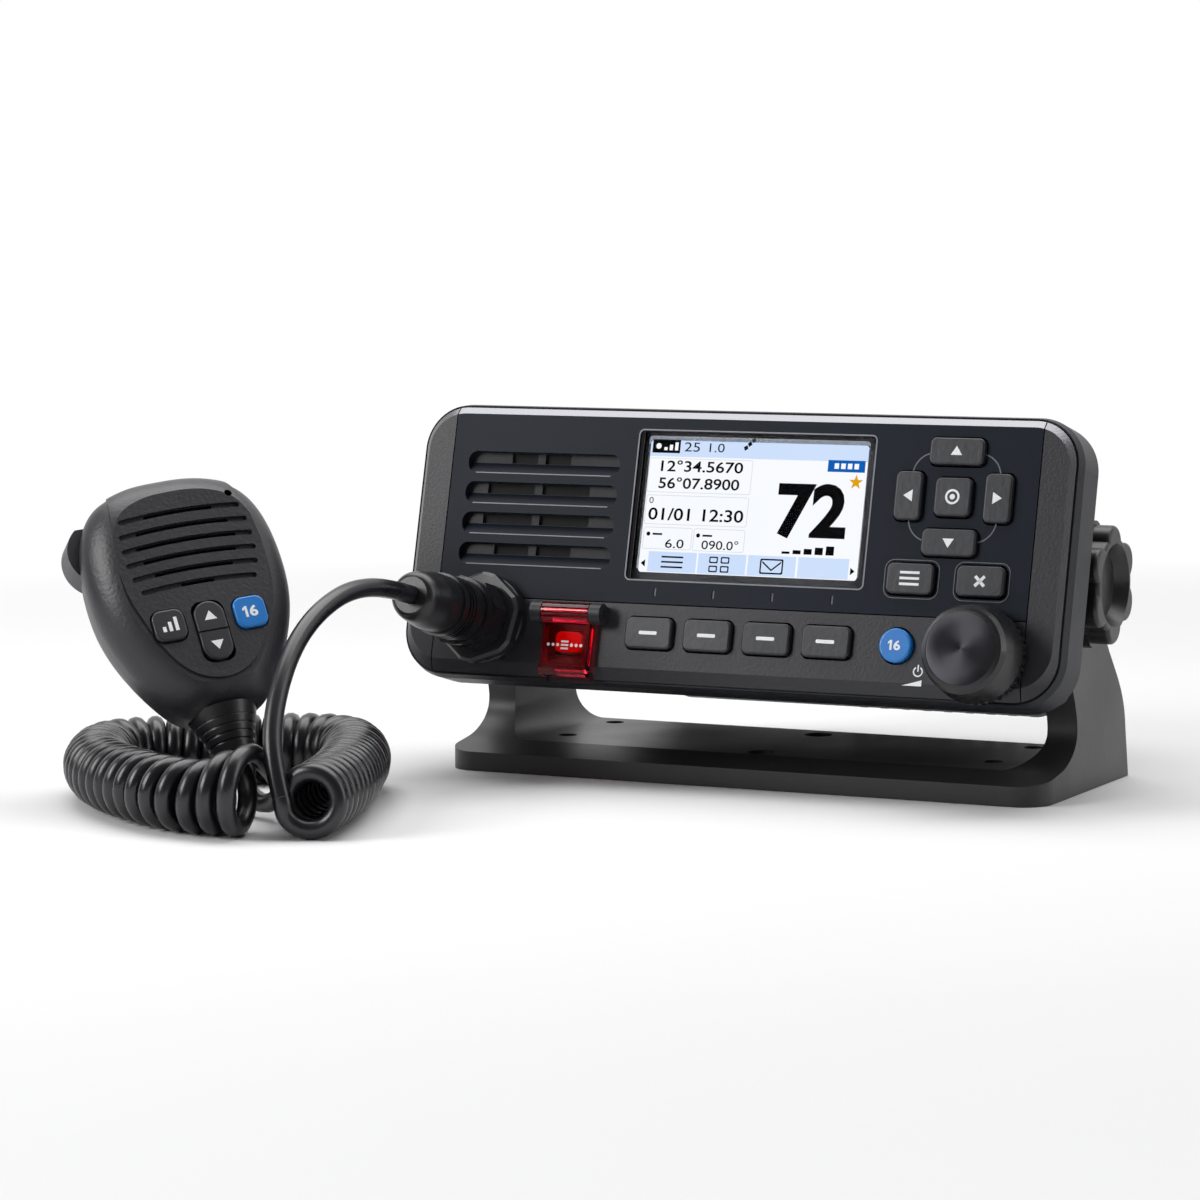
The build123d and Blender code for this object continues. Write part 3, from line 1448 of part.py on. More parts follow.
def make_main_board():
    v = CHASSIS_BOTTOM + CHASSIS_WALL + POST_HEIGHT
    rear_row, front_row = board_posts()
    middle = (rear_row + front_row) / 2
    deck = Plane(origin=face_point(0.0, v, middle), x_dir=(1, 0, 0), z_dir=FACE_UP)
    top = BOARD_THICK
    with BuildPart() as board:
        bar(deck, BOARD_WIDTH, BOARD_LENGTH, 0, BOARD_THICK)
        # power stage, shield cans, coils and capacitors
        bar(deck, 26.0, 34.0, top, top + 9.0, (34.0, 8.0))
        bar(deck, 40.0, 30.0, top, top + 4.5, (-8.0, -8.0))
        bar(deck, 20.0, 20.0, top, top + 5.5, (-39.5, 14.0))
        for x in (-45.0, -35.0):
            disc(deck, 4.0, top, top + 11.0, (x, -18.0))
    save(board, "main_board")


def make_antenna_socket():
    at = (ANTENNA_X, ANTENNA_V)
    rear = -CHASSIS_BACK
    with BuildPart() as socket:
        slab(FACE, ANTENNA_FLANGE, ANTENNA_FLANGE, 3.0, rear - 2.0, rear, at)
        disc(FACE, ANTENNA_RADIUS, rear - 2.0 - ANTENNA_LENGTH, rear - 2.0, at)
        disc(FACE, ANTENNA_BORE + 1.8, rear, rear + REAR_PLUG_DEPTH, at)
        disc(FACE, ANTENNA_BORE, rear - 3.0 - ANTENNA_LENGTH, rear - 4.0, at, Mode.SUBTRACT)
        disc(FACE, 2.2, rear - 8.0, rear - 4.0, at)
    save(socket, "antenna_socket")


def make_power_gland():
    at = (GLAND_X, GLAND_V)
    rear = -CHASSIS_BACK
    with BuildPart() as gland:
        disc(FACE, GLAND_RADIUS + 1.5, rear - 2.0, rear, at)
        disc(FACE, GLAND_RADIUS, rear - GLAND_LENGTH, rear - 2.0, at)
        disc(FACE, GLAND_RADIUS - 1.5, rear, rear + REAR_PLUG_DEPTH, at)
        disc(FACE, GLAND_BORE, rear - GLAND_LENGTH - 1, rear + REAR_PLUG_DEPTH + 1, at, Mode.SUBTRACT)
    save(gland, "power_gland")


def make_data_socket():
    at = (DATA_X, DATA_V)
    rear = -CHASSIS_BACK
    with BuildPart() as socket:
        disc(FACE, DATA_RADIUS + 1.5, rear - 2.0, rear, at)
        disc(FACE, DATA_RADIUS, rear - DATA_LENGTH, rear - 2.0, at)
        disc(FACE, DATA_RADIUS - 1.5, rear, rear + REAR_PLUG_DEPTH, at)
        disc(FACE, DATA_RADIUS - 1.4, rear - DATA_LENGTH - 1, rear - 3.0, at, Mode.SUBTRACT)
    save(socket, "data_socket")


def make_housing_screws():
    with BuildPart() as screws:
        for x in (-SCREW_X, SCREW_X):
            for v in (-SCREW_V, SCREW_V):
                disc(FACE, SCREW_RADIUS, FLANGE_BACK, FLANGE_BACK + SCREW_LENGTH, (x, v))
                disc(
                    FACE,
                    SCREW_HEAD_RADIUS,
                    FLANGE_BACK - SCREW_HEAD_THICK,
                    FLANGE_BACK,
                    (x, v),
                )
    save(screws, "housing_screws")


# ================================================================ fist microphone
def mic_outline(level, inset):
    """Outline sketch of the body at one level: an egg that narrows towards the cord."""
    half = [
        (MIC_TOP, 0.0),
        (MIC_TOP - 0.5, 8.5),
        (MIC_TOP - 1.7, 13.3),
        (MIC_TOP - 4.1, MIC_HALF_WIDTH - 7.1),
        (MIC_TOP - 8.4, MIC_HALF_WIDTH - 3.5),
        (MIC_TOP - 15.0, MIC_HALF_WIDTH - 1.1),
        (MIC_TOP - 24.5, MIC_HALF_WIDTH),
        (-3.5, MIC_HALF_WIDTH - 0.7),
        (-16.5, MIC_HALF_WIDTH - 5.4),
        (-26.0, MIC_HALF_WIDTH - 11.4),
        (MIC_BOTTOM + 1.1, MIC_HALF_WIDTH - 16.0),
        (MIC_BOTTOM, 0.0),
    ]
    middle = (MIC_TOP + MIC_BOTTOM) / 2
    tall = 1 - 2 * inset / (MIC_TOP - MIC_BOTTOM)
    wide = 1 - inset / MIC_HALF_WIDTH
    right = [(x * wide, middle + (v - middle) * tall) for v, x in half]
    left = [(-x, v) for x, v in reversed(right[1:-1])]
    with BuildSketch(MIC.offset(level)) as outline:
        with BuildLine():
            Spline(right + left, periodic=True)
        make_face()
    return outline.sketch.face()


def mic_shell(levels, mode=Mode.ADD):
    """Smooth half of the body through (level, inset) outlines, in the current part."""
    loft([mic_outline(level, inset) for level, inset in levels], mode=mode)


def mic_key_hole(x, v, width, height, low, high):
    slab(
        MIC,
        width + 2 * MIC_KEY_GAP,
        height + 2 * MIC_KEY_GAP,
        MIC_KEY_CORNER + MIC_KEY_GAP,
        low,
        high,
        (x, v),
        Mode.SUBTRACT,
    )


def mic_slot(row, half, width, low, high):
    """Cut one arched slot of the given half length and width from the current part."""
    v = MIC_SLOT_TOP - row * MIC_SLOT_PITCH
    drop = half**2 / (2 * MIC_SLOT_ARCH)
    with BuildLine() as arch:
        ThreePointArc((-half, v - drop), (0, v), (half, v - drop))
    with BuildSketch(MIC.offset(low)) as slot:
        SlotArc(arch.wire(), width)
    extrude(slot.sketch, amount=high - low, mode=Mode.SUBTRACT)


def make_shield():
    """Raised front shield: a slightly larger body, kept only inside the shield's outline."""
    right = [
        (13.2, MIC_TOP + 2.0),
        (15.4, 28.0),
        (17.6, 18.5),
        (18.8, 8.0),
        (18.2, 0.0),
        (16.4, -6.2),
        (12.3, -16.2),
        (6.6, -22.6),
        (0.0, -24.5),
    ]
    left = [(-x, v) for x, v in reversed(right[:-1])]
    with BuildPart() as shield:
        mic_shell([(MIC_PARTING, -0.25), (7.0, 0.55), (10.3, 2.95), (MIC_FACE, 5.7)])
        with BuildSketch(MIC.offset(MIC_PARTING + 5)):
            with BuildLine():
                Spline(right + left)
                Line(left[-1], right[0])
            make_face()
        extrude(amount=MIC_FACE, mode=Mode.INTERSECT)
    return shield.part


def make_mic_front_shell():
    inside = MIC_FACE - SHIELD_RISE - MIC_WALL
    top = MIC_FACE
    shield = make_shield()
    with BuildPart() as shell:
        mic_shell([(MIC_PARTING, 0.0), (6.6, 1.0), (9.8, 3.5), (MIC_FACE - SHIELD_RISE, 6.4)])
        add(shield)
        mic_shell(
            [(MIC_PARTING - 1, 2.2), (6.0, 3.6), (8.2, 5.8), (inside, 8.4)],
            Mode.SUBTRACT,
        )
        # ribs that carry the rocker's axle
        for side in (-1, 1):
            bar(
                MIC,
                ROCKER_RIB,
                4.4,
                ROCKER_AXLE_H - 2.0,
                inside + 0.4,
                (side * (ROCKER_RIB_X + ROCKER_RIB / 2), ROCKER_V),
            )
        axle_plane = Plane(
            origin=mic_point(-ROCKER_AXLE_LENGTH, ROCKER_V, ROCKER_AXLE_H),
            x_dir=MIC_UP,
            z_dir=MIC_RIGHT,
        )
        disc(
            axle_plane,
            ROCKER_AXLE_RADIUS + ROCKER_AXLE_FIT,
            0,
            2 * ROCKER_AXLE_LENGTH,
            mode=Mode.SUBTRACT,
        )
        # screw bosses
        for x in (-MIC_SCREW_X, MIC_SCREW_X):
            for v in (MIC_SCREW_TOP, MIC_SCREW_BOTTOM):
                disc(MIC, MIC_BOSS_RADIUS, MIC_PARTING, inside + 0.3, (x, v))
                disc(MIC, MIC_SCREW_RADIUS, MIC_PARTING - 1, inside - 1.2, (x, v), Mode.SUBTRACT)
        low = MIC_KEY_FOOT - 3
        for side in (-1, 1):
            mic_key_hole(side * MIC_KEY_X, MIC_KEY_V, MIC_KEY, MIC_KEY_HEIGHT, low, top + 1)
        mic_key_hole(0, ROCKER_V, ROCKER_WIDTH, ROCKER_HEIGHT, low, top + 1)
        for row, (half, open_half) in enumerate(MIC_SLOTS):
            mic_slot(row, half, MIC_SLOT_WIDTH, top - MIC_SLOT_DEPTH, top + 1)
            mic_slot(row, open_half, MIC_SLOT_OPEN, inside - 1, top + 1)
        disc(MIC, 1.0, inside - 1, top + 1, (MIC_HOLE_X, MIC_HOLE_V), Mode.SUBTRACT)
        # half of the neck that holds the boot
        neck_cut()
    save(shell, "mic_front_shell")


def neck_plane():
    """Plane across the neck, looking down along the cord's way out."""
    origin = mic_point(0, MIC_BOTTOM + MIC_BOOT_IN + 1.0, NECK_H)
    return Plane(origin=origin, x_dir=MIC_RIGHT, z_dir=MIC_UP * -1)


def neck_cut():
    """Bore for the boot's foot and seat for its collar, cut from the current half."""
    disc(neck_plane(), MIC_BOOT_FOOT, 0, 12, mode=Mode.SUBTRACT)
    seat = MIC_BOOT_IN + 1.0 - MIC_BOOT_SINK
    disc(neck_plane(), MIC_BOOT_RADIUS, seat, 12, mode=Mode.SUBTRACT)


def make_mic_rear_shell():
    rear = MIC_PARTING - MIC_SEAM
    inside = MIC_BACK + MIC_WALL
    with BuildPart() as shell:
        mic_shell([(MIC_BACK, 8.0), (-10.4, 3.6), (-5.0, 1.0), (MIC_PARTING, 0.0)])
        # fine step along the parting line
        with BuildSketch(MIC.offset(rear)) as step:
            add(mic_outline(rear, -1.0))
            add(mic_outline(rear, MIC_SEAM), mode=Mode.SUBTRACT)
        extrude(step.sketch, amount=MIC_SEAM, mode=Mode.SUBTRACT)
        mic_shell(
            [(inside, 10.0), (-8.6, 6.0), (-4.0, 3.6), (MIC_PARTING + 1, 2.2)],
            Mode.SUBTRACT,
        )
        for x in (-MIC_SCREW_X, MIC_SCREW_X):
            for v in (MIC_SCREW_TOP, MIC_SCREW_BOTTOM):
                disc(MIC, MIC_BOSS_RADIUS, inside - 0.8, MIC_PARTING, (x, v))
                disc(MIC, MIC_SCREW_RADIUS, MIC_BACK - 2, MIC_PARTING + 1, (x, v), Mode.SUBTRACT)
                disc(
                    MIC,
                    MIC_SCREW_HEAD,
                    MIC_BACK - 2,
                    MIC_BACK + MIC_SCREW_SINK,
                    (x, v),
                    Mode.SUBTRACT,
                )
        # window for the transmit key
        bar(
            MIC,
            MIC_HALF_WIDTH + PTT_WINDOW_END,
            PTT_LENGTH + 2 * PTT_GAP,
            PTT_LOW - PTT_GAP,
            PTT_HIGH + PTT_GAP,
            ((PTT_WINDOW_END - MIC_HALF_WIDTH) / 2, PTT_V),
            Mode.SUBTRACT,
        )
        disc(MIC, STUD_SCREW_RADIUS, MIC_BACK - 1, inside + 1, (0, STUD_V), Mode.SUBTRACT)
        neck_cut()
    save(shell, "mic_rear_shell")


def make_mic_key(name, side):
    at = (side * MIC_KEY_X, MIC_KEY_V)
    inside = MIC_FACE - SHIELD_RISE - MIC_WALL
    top = MIC_FACE + MIC_KEY_PROUD
    with BuildPart() as key:
        slab(MIC, MIC_KEY, MIC_KEY_HEIGHT, MIC_KEY_CORNER, MIC_KEY_FOOT, top, at)
        face = key.faces().sort_by(Axis(MIC.origin, MIC.z_dir))[-1]
        fillet(face.edges(), KEY_EDGE)
        bar(
            MIC,
            MIC_KEY - 2 * MIC_KEY_CORNER,
            MIC_KEY_HEIGHT + 2 * MIC_KEY_FLANGE + 2 * MIC_KEY_GAP,
            inside - 1.5,
            inside - 0.4,
            at,
        )
    save(key, name)


def make_mic_rocker():
    top = MIC_FACE + MIC_KEY_PROUD
    axle = Plane(
        origin=mic_point(-ROCKER_AXLE_LENGTH / 2 - 0.3, ROCKER_V, ROCKER_AXLE_H),
        x_dir=MIC_UP,
        z_dir=MIC_RIGHT,
    )
    with BuildPart() as rocker:
        slab(
            MIC,
            ROCKER_WIDTH,
            ROCKER_HEIGHT,
            ROCKER_WIDTH / 2 - 0.1,
            MIC_KEY_FOOT,
            top,
            (0, ROCKER_V),
        )
        face = rocker.faces().sort_by(Axis(MIC.origin, MIC.z_dir))[-1]
        fillet(face.edges(), KEY_EDGE)
        crease = (0, ROCKER_V)
        bar(MIC, ROCKER_WIDTH, ROCKER_CREASE, top - ROCKER_CREASE, top + 1, crease, Mode.SUBTRACT)
        disc(axle, ROCKER_AXLE_RADIUS, 0, ROCKER_AXLE_LENGTH + 0.6)
    save(rocker, "mic_rocker")


def make_mic_speaker():
    top = MIC_FACE - SHIELD_RISE - MIC_WALL
    at = (0, MIC_SPEAKER_V)
    board_top = MIC_BOARD_TOP
    with BuildPart() as speaker:
        disc(MIC, MIC_SPEAKER_RADIUS, top - 1.4, top, at)
        disc(MIC, MIC_SPEAKER_RADIUS - 1.6, top - 0.7, top, at, Mode.SUBTRACT)
        disc(MIC, MIC_SPEAKER_RADIUS - 4.0, board_top, top - 1.4, at)
    save(speaker, "mic_speaker")


def make_mic_board():
    with BuildPart() as board:
        slab(
            MIC,
            MIC_BOARD_WIDTH,
            MIC_BOARD_HEIGHT,
            3.0,
            MIC_BOARD_TOP - MIC_BOARD_THICK,
            MIC_BOARD_TOP,
            (0, MIC_BOARD_BOTTOM + MIC_BOARD_HEIGHT / 2),
        )
        for x in (-MIC_SCREW_X, MIC_SCREW_X):
            disc(
                MIC,
                MIC_BOSS_RADIUS + 0.3,
                MIC_BOARD_TOP - 2 * MIC_BOARD_THICK,
                MIC_BOARD_TOP + 1,
                (x, MIC_SCREW_BOTTOM),
                Mode.SUBTRACT,
            )
        # switches under the keys, and the transmit switch at the side
        spots = [(side * MIC_KEY_X, MIC_KEY_V) for side in (-1, 1)]
        spots += [(0, ROCKER_V + side * ROCKER_HEIGHT / 3) for side in (-1, 1)]
        for spot in spots:
            disc(MIC, 1.6, MIC_BOARD_TOP, MIC_BOARD_TOP + SWITCH_HEIGHT, spot)
        at = (-12.2, PTT_SWITCH_V)
        bar(MIC, 6.0, 6.0, PTT_LOW + 2, MIC_BOARD_TOP - MIC_BOARD_THICK, at)
    save(board, "mic_board")


def make_ptt_button():
    low = PTT_V - PTT_LENGTH / 2
    high = PTT_V + PTT_LENGTH / 2
    with BuildPart() as button:
        with BuildSketch(MIC.offset(PTT_LOW)):
            with BuildLine():
                Polyline(
                    (PTT_SHOULDER, low),
                    (PTT_INNER, low),
                    (PTT_INNER, high),
                    (PTT_SHOULDER, high),
                )
                ThreePointArc((PTT_SHOULDER, high), (PTT_APEX, PTT_V), (PTT_SHOULDER, low))
            make_face()
        extrude(amount=PTT_HIGH - PTT_LOW)
        # hook that keeps the button in its window
        bar(
            MIC,
            PTT_HOOK,
            2 * (PTT_GAP + PTT_HOOK),
            PTT_LOW,
            PTT_HIGH,
            (PTT_HOOK_X + PTT_HOOK / 2, low),
        )
    save(button, "ptt_button")


def make_mic_hanger_stud():
    at = (0, STUD_V)
    low = MIC_BACK - STUD_LENGTH
    with BuildPart() as stud:
        disc(MIC, STUD_RADIUS, low, MIC_BACK, at)
        disc(MIC, STUD_HEAD_RADIUS, low - STUD_HEAD_THICK, low, at)
        head = stud.faces().sort_by(Axis(MIC.origin, MIC.z_dir))[0]
        fillet(head.edges(), 0.8)
        disc(MIC, STUD_SCREW_RADIUS, MIC_BACK, MIC_BACK + MIC_WALL + 2.0, at)
    save(stud, "mic_hanger_stud")


def make_mic_screws():
    head_low = MIC_BACK + MIC_SCREW_SINK - 1.6
    with BuildPart() as screws:
        for x in (-MIC_SCREW_X, MIC_SCREW_X):
            for v in (MIC_SCREW_TOP, MIC_SCREW_BOTTOM):
                disc(
                    MIC,
                    MIC_SCREW_RADIUS,
                    MIC_BACK + MIC_SCREW_SINK,
                    MIC_PARTING + 6.0,
                    (x, v),
                )
                disc(MIC, MIC_SCREW_HEAD - 0.2, head_low, MIC_BACK + MIC_SCREW_SINK, (x, v))
    save(screws, "mic_screws")


def make_mic_boot():
    foot = neck_plane()
    start = mic_point(0, MIC_BOTTOM, NECK_H)
    length = MIC_BOTTOM - MIC_BOOT_END
    collar = Plane(origin=start, x_dir=MIC_RIGHT, z_dir=MIC_UP * -1)
    with BuildPart() as boot:
        disc(foot, MIC_BOOT_FOOT, 0.0, MIC_BOOT_IN + 1.0)
        with BuildSketch(collar.offset(-MIC_BOOT_SINK)) as wide:
            Circle(MIC_BOOT_RADIUS)
        with BuildSketch(collar.offset(length)) as narrow:
            Circle(MIC_BOOT_TIP)
        loft([wide.sketch.face(), narrow.sketch.face()], ruled=True)
        # strain relief grooves
        for index in range(MIC_BOOT_RIBS):
            level = 1.4 + index * (length - 2.0) / MIC_BOOT_RIBS
            radius = MIC_BOOT_RADIUS + (MIC_BOOT_TIP - MIC_BOOT_RADIUS) * level / length
            with BuildSketch(collar.offset(level)) as ring:
                Circle(MIC_BOOT_RADIUS + 2)
                Circle(radius - MIC_BOOT_RIB, mode=Mode.SUBTRACT)
            extrude(ring.sketch, amount=MIC_BOOT_RIB, mode=Mode.SUBTRACT)
    save(boot, "mic_boot")


# ================================================================ cord
def corner_radii(points):
    """Largest radius that the runs beside each corner allow."""
    radii = []
    for before, corner, after in zip(points, points[1:], points[2:]):
        first = corner - before
        second = after - corner
        half = radians(first.get_angle(second)) / 2
        radii.append(RUN_SHARE * min(first.length, second.length) / tan(half))
    return radii


def make_tube(points, radius, name):
    """A tube of straight runs joined by tangent arcs."""
    spots = [Vector(*point) for point in points]
    with BuildPart() as tube:
        with BuildLine() as route:
            FilletPolyline(spots, radius=corner_radii(spots))
        first = spots[1] - spots[0]
        with BuildSketch(Plane(origin=spots[0], z_dir=first)):
            Circle(radius)
        sweep(path=route.wires()[0])
    length = route.wires()[0].length
    smallest = min(corner_radii(spots))
    share = tube.part.volume / (pi * radius**2 * length)
    print(f"{name}: length {length:.1f}, smallest bend {smallest:.1f}, volume share {share:.3f}")
    save(tube, name)


def make_cord():
    start = [face_point(SOCKET_X, SOCKET_V, h) for h in (BOOT_END, BOOT_END + LEAD_EXIT)]
    make_tube(start + LEAD_POINTS, CORD_RADIUS, "cord_lead")
    make_tube([(x, y, COIL_RADIUS) for x, y in COIL_POINTS], COIL_RADIUS, "cord_coil")
    tip = mic_point(0, MIC_BOOT_END, NECK_H)
    below = tip - MIC_UP * TAIL_RISE
    make_tube(TAIL_POINTS + [below, tip], CORD_RADIUS, "cord_tail")


# ================================================================ all pieces
os.makedirs("parts", exist_ok=True)
make_bracket()
make_bracket_washers()
for side, word in ((-1, "left"), (1, "right")):
    make_knob(side, f"knob_{word}")
    make_knob_bolt(side, f"knob_bolt_{word}")
    make_cheek(side, f"{word}_cheek")
make_upper_panel()
make_lower_panel()
make_front_housing()
make_front_gasket()
make_display_window()
make_lcd_module()
for key in PANEL_KEYS + SOFT_KEYS:
    make_key(*key)
make_round_key()
make_key_mat()
make_front_board()
make_encoder()
make_encoder_plunger()
make_dial_shaft()
make_dial_knob()
make_speaker()
make_distress_cover()
make_distress_pin()
make_distress_button()
make_mic_socket()
make_plug_nut()
make_plug_body()
make_plug_boot()
make_chassis()
make_main_board()
make_antenna_socket()
make_power_gland()
make_data_socket()
make_housing_screws()
make_mic_front_shell()
make_mic_rear_shell()
make_mic_key("mic_key_power", -1)
make_mic_key("mic_key_sixteen", 1)
make_mic_rocker()
make_mic_speaker()
make_mic_board()
make_ptt_button()
make_mic_hanger_stud()
make_mic_screws()
make_mic_boot()
make_cord()
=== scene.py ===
from math import cos, pi, radians, sin

import bmesh
import bpy
from mathutils import Matrix, Vector


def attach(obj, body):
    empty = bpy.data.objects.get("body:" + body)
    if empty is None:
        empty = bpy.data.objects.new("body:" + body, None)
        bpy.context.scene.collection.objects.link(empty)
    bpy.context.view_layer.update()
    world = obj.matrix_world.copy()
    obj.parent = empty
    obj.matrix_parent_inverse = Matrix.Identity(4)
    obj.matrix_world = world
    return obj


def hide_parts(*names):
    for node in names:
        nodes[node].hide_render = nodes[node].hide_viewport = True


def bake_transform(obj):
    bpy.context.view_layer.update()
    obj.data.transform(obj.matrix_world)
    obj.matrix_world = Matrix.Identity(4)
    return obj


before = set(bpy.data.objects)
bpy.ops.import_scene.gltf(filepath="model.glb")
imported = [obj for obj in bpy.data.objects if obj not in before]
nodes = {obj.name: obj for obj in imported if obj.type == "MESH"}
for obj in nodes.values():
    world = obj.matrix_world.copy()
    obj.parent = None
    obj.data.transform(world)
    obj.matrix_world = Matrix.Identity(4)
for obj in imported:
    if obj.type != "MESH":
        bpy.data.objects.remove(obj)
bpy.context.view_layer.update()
MM = 0.001

# ---------------------------------------------------------------- the two working planes, in millimetres
TILT = radians(14.2)
FACE_AHEAD = 31.4
FACE_RISE = 0.55
FACE_OUT = Vector((0, -cos(TILT), sin(TILT)))
FACE_UP = Vector((0, sin(TILT), cos(TILT)))
FACE_RIGHT = Vector((1, 0, 0))
PIVOT = Vector((0, -4.0, 53.0))  # the tilt axis
FACE_ORIGIN = PIVOT + FACE_AHEAD * FACE_OUT + FACE_RISE * FACE_UP
# centres of the face's corner arcs, and how far from them the bevel starts
RIM_CORE_X = 79.0
RIM_CORE_V = 23.85
RIM_START = 7.5
RIM_FADE = 0.3
# how squarely the bevel and the flat front face forward
BEVEL_FACING = 0.93
FRONT_FACING = 0.985
# the painted highlight on the bevel fades out between these heights, in metres, leaving the lower bevel
# dark as painted shade
HIGHLIGHT_GONE = -0.031
HIGHLIGHT_WHOLE = -0.02

MIC_ORIGIN = Vector((-112.8, -109.3, 49.3))
mic_turn, mic_lean, mic_roll = radians(46.6), radians(28.8), radians(7.8)
MIC_OUT = Vector((sin(mic_turn) * cos(mic_lean), -cos(mic_turn) * cos(mic_lean), sin(mic_lean)))
mic_level = Vector((cos(mic_turn), sin(mic_turn), 0))
mic_rise = MIC_OUT.cross(mic_level)
MIC_RIGHT = mic_level * cos(mic_roll) + mic_rise * sin(mic_roll)
MIC_UP = mic_rise * cos(mic_roll) - mic_level * sin(mic_roll)


def plane_matrix(origin, right, up, out):
    """Takes millimetres right, up and out of a plane to metres in the shared frame."""
    columns = Matrix((right, up, out)).transposed().to_4x4()
    return Matrix.Scale(MM, 4) @ Matrix.Translation(origin) @ columns


FACE = plane_matrix(FACE_ORIGIN, FACE_RIGHT, FACE_UP, FACE_OUT)
MIC = plane_matrix(MIC_ORIGIN, MIC_RIGHT, MIC_UP, MIC_OUT)


def face_point(x, v, h):
    """A point x right, v up and h out of the face's middle, in millimetres."""
    return FACE @ Vector((x, v, h))


def mic_point(x, v, h):
    """The same for the microphone's face."""
    return MIC @ Vector((x, v, h))


# ---------------------------------------------------------------- materials
COAT_ROUGHNESS = 0.1
# the part of the noise's range that is spread from one value to the other
NOISE_LOW = 0.3
NOISE_HIGH = 0.7
NOISE_SCALE = 0.6
# the mix node's colour sockets
MIX_COLOURS = (6, 7)
MIX_RESULT = 2


def tone(red, green, blue):
    """A colour given as it looks on a screen, 0 to 255."""
    linear = [c / 255 for c in (red, green, blue)]
    linear = [c / 12.92 if c <= 0.04045 else ((c + 0.055) / 1.055) ** 2.4 for c in linear]
    return (*linear, 1.0)


def add_node(tree, kind, **values):
    """A new node in a tree, with these properties set."""
    made = tree.nodes.new(kind)
    for key, value in values.items():
        setattr(made, key, value)
    return made


def add_math(tree, operation, first, second=None):
    """The output of one sum in a tree; either term is a node's output or a number."""
    made = add_node(tree, "ShaderNodeMath", operation=operation)
    for term, value in zip(made.inputs, (first, second)):
        if isinstance(value, float):
            term.default_value = value
        elif value is not None:
            tree.links.new(value, term)
    return made.outputs["Value"]


class Finish:
    """A material and the nodes that feed its one Principled shader."""

    def __init__(self, name, roughness, metallic=0.0, specular=0.5, coat=0.0):
        self.material = bpy.data.materials.new(name)
        self.material.use_nodes = True
        self.tree = self.material.node_tree
        self.shader = self.tree.nodes["Principled BSDF"]
        self.shader.inputs["Roughness"].default_value = roughness
        self.shader.inputs["Metallic"].default_value = metallic
        self.shader.inputs["Specular IOR Level"].default_value = specular
        self.shader.inputs["Coat Weight"].default_value = coat
        self.shader.inputs["Coat Roughness"].default_value = COAT_ROUGHNESS
        self.place = self.node("ShaderNodeTexCoord").outputs["Object"]

    def node(self, kind, **values):
        return add_node(self.tree, kind, **values)

    def join(self, source, target):
        self.tree.links.new(source, target)

    def noise(self, size, detail=2.0):
        """Noise whose blobs are about size metres across."""
        made = self.node("ShaderNodeTexNoise")
        made.inputs["Scale"].default_value = NOISE_SCALE / size
        made.inputs["Detail"].default_value = detail
        self.join(self.place, made.inputs["Vector"])
        return made.outputs["Fac"]

    def math(self, operation, first, second=None):
        return add_math(self.tree, operation, first, second)

    def along(self, way, centre):
        """Signed distance in metres along a way from a centre given in millimetres."""
        made = self.node("ShaderNodeVectorMath", operation="DOT_PRODUCT")
        made.inputs[1].default_value = way
        self.join(self.place, made.inputs[0])
        return self.math("SUBTRACT", made.outputs["Value"], centre.dot(way) * MM)

    def beyond(self, distance, half):
        """How far a signed distance lies outside plus or minus half, in metres; negative inside."""
        return self.math("SUBTRACT", self.math("ABSOLUTE", distance), half * MM)

    def spread(self, source, low, high, from_low=NOISE_LOW, from_high=NOISE_HIGH):
        """The source's range carried over to low and high, and held there."""
        made = self.node("ShaderNodeMapRange")
        made.inputs["From Min"].default_value = from_low
        made.inputs["From Max"].default_value = from_high
        made.inputs["To Min"].default_value = low
        made.inputs["To Max"].default_value = high
        self.join(source, made.inputs["Value"])
        return made.outputs["Result"]

    def blend(self, factor, one, other):
        """One colour into the other; each is a colour or a node's output."""
        made = self.node("ShaderNodeMix", data_type="RGBA")
        self.join(factor, made.inputs["Factor"])
        for slot, value in zip(MIX_COLOURS, (one, other)):
            if isinstance(value, tuple):
                made.inputs[slot].default_value = value
            else:
                self.join(value, made.inputs[slot])
        return made.outputs[MIX_RESULT]

    def colour(self, one, other=None, size=0.012):
        """The base colour: even, or drifting between two tones."""
        if other is None:
            self.shader.inputs["Base Color"].default_value = one
            return
        drift = self.spread(self.noise(size, 3.0), 0, 1)
        self.join(self.blend(drift, one, other), self.shader.inputs["Base Color"])

    def sheen_patches(self, low, high, size=0.02):
        """Roughness that drifts a little, as handled plastic's does."""
        self.join(self.spread(self.noise(size, 4.0), low, high), self.shader.inputs["Roughness"])

    def grain(self, size, depth):
        """Pebbles about size metres across and depth metres high."""
        bump = self.node("ShaderNodeBump")
        bump.inputs["Strength"].default_value = 1.0
        bump.inputs["Distance"].default_value = depth
        self.join(self.noise(size), bump.inputs["Height"])
        self.join(bump.outputs["Normal"], self.shader.inputs["Normal"])


def moulded(name, one, other, roughness, grain, depth, specular=0.5, coat=0.0):
    """Moulded plastic or rubber with a pebbled skin."""
    finish = Finish(name, roughness, specular=specular, coat=coat)
    finish.colour(one, other)
    finish.sheen_patches(roughness - 0.05, roughness + 0.06)
    finish.grain(grain, depth)
    return finish.material


def metal(name, one, other, roughness):
    """Bare metal with a fine grain."""
    finish = Finish(name, roughness, metallic=1.0)
    finish.colour(one, other, 0.006)
    finish.sheen_patches(roughness - 0.06, roughness + 0.08, 0.004)
    finish.grain(0.0006, 0.00001)
    return finish.material


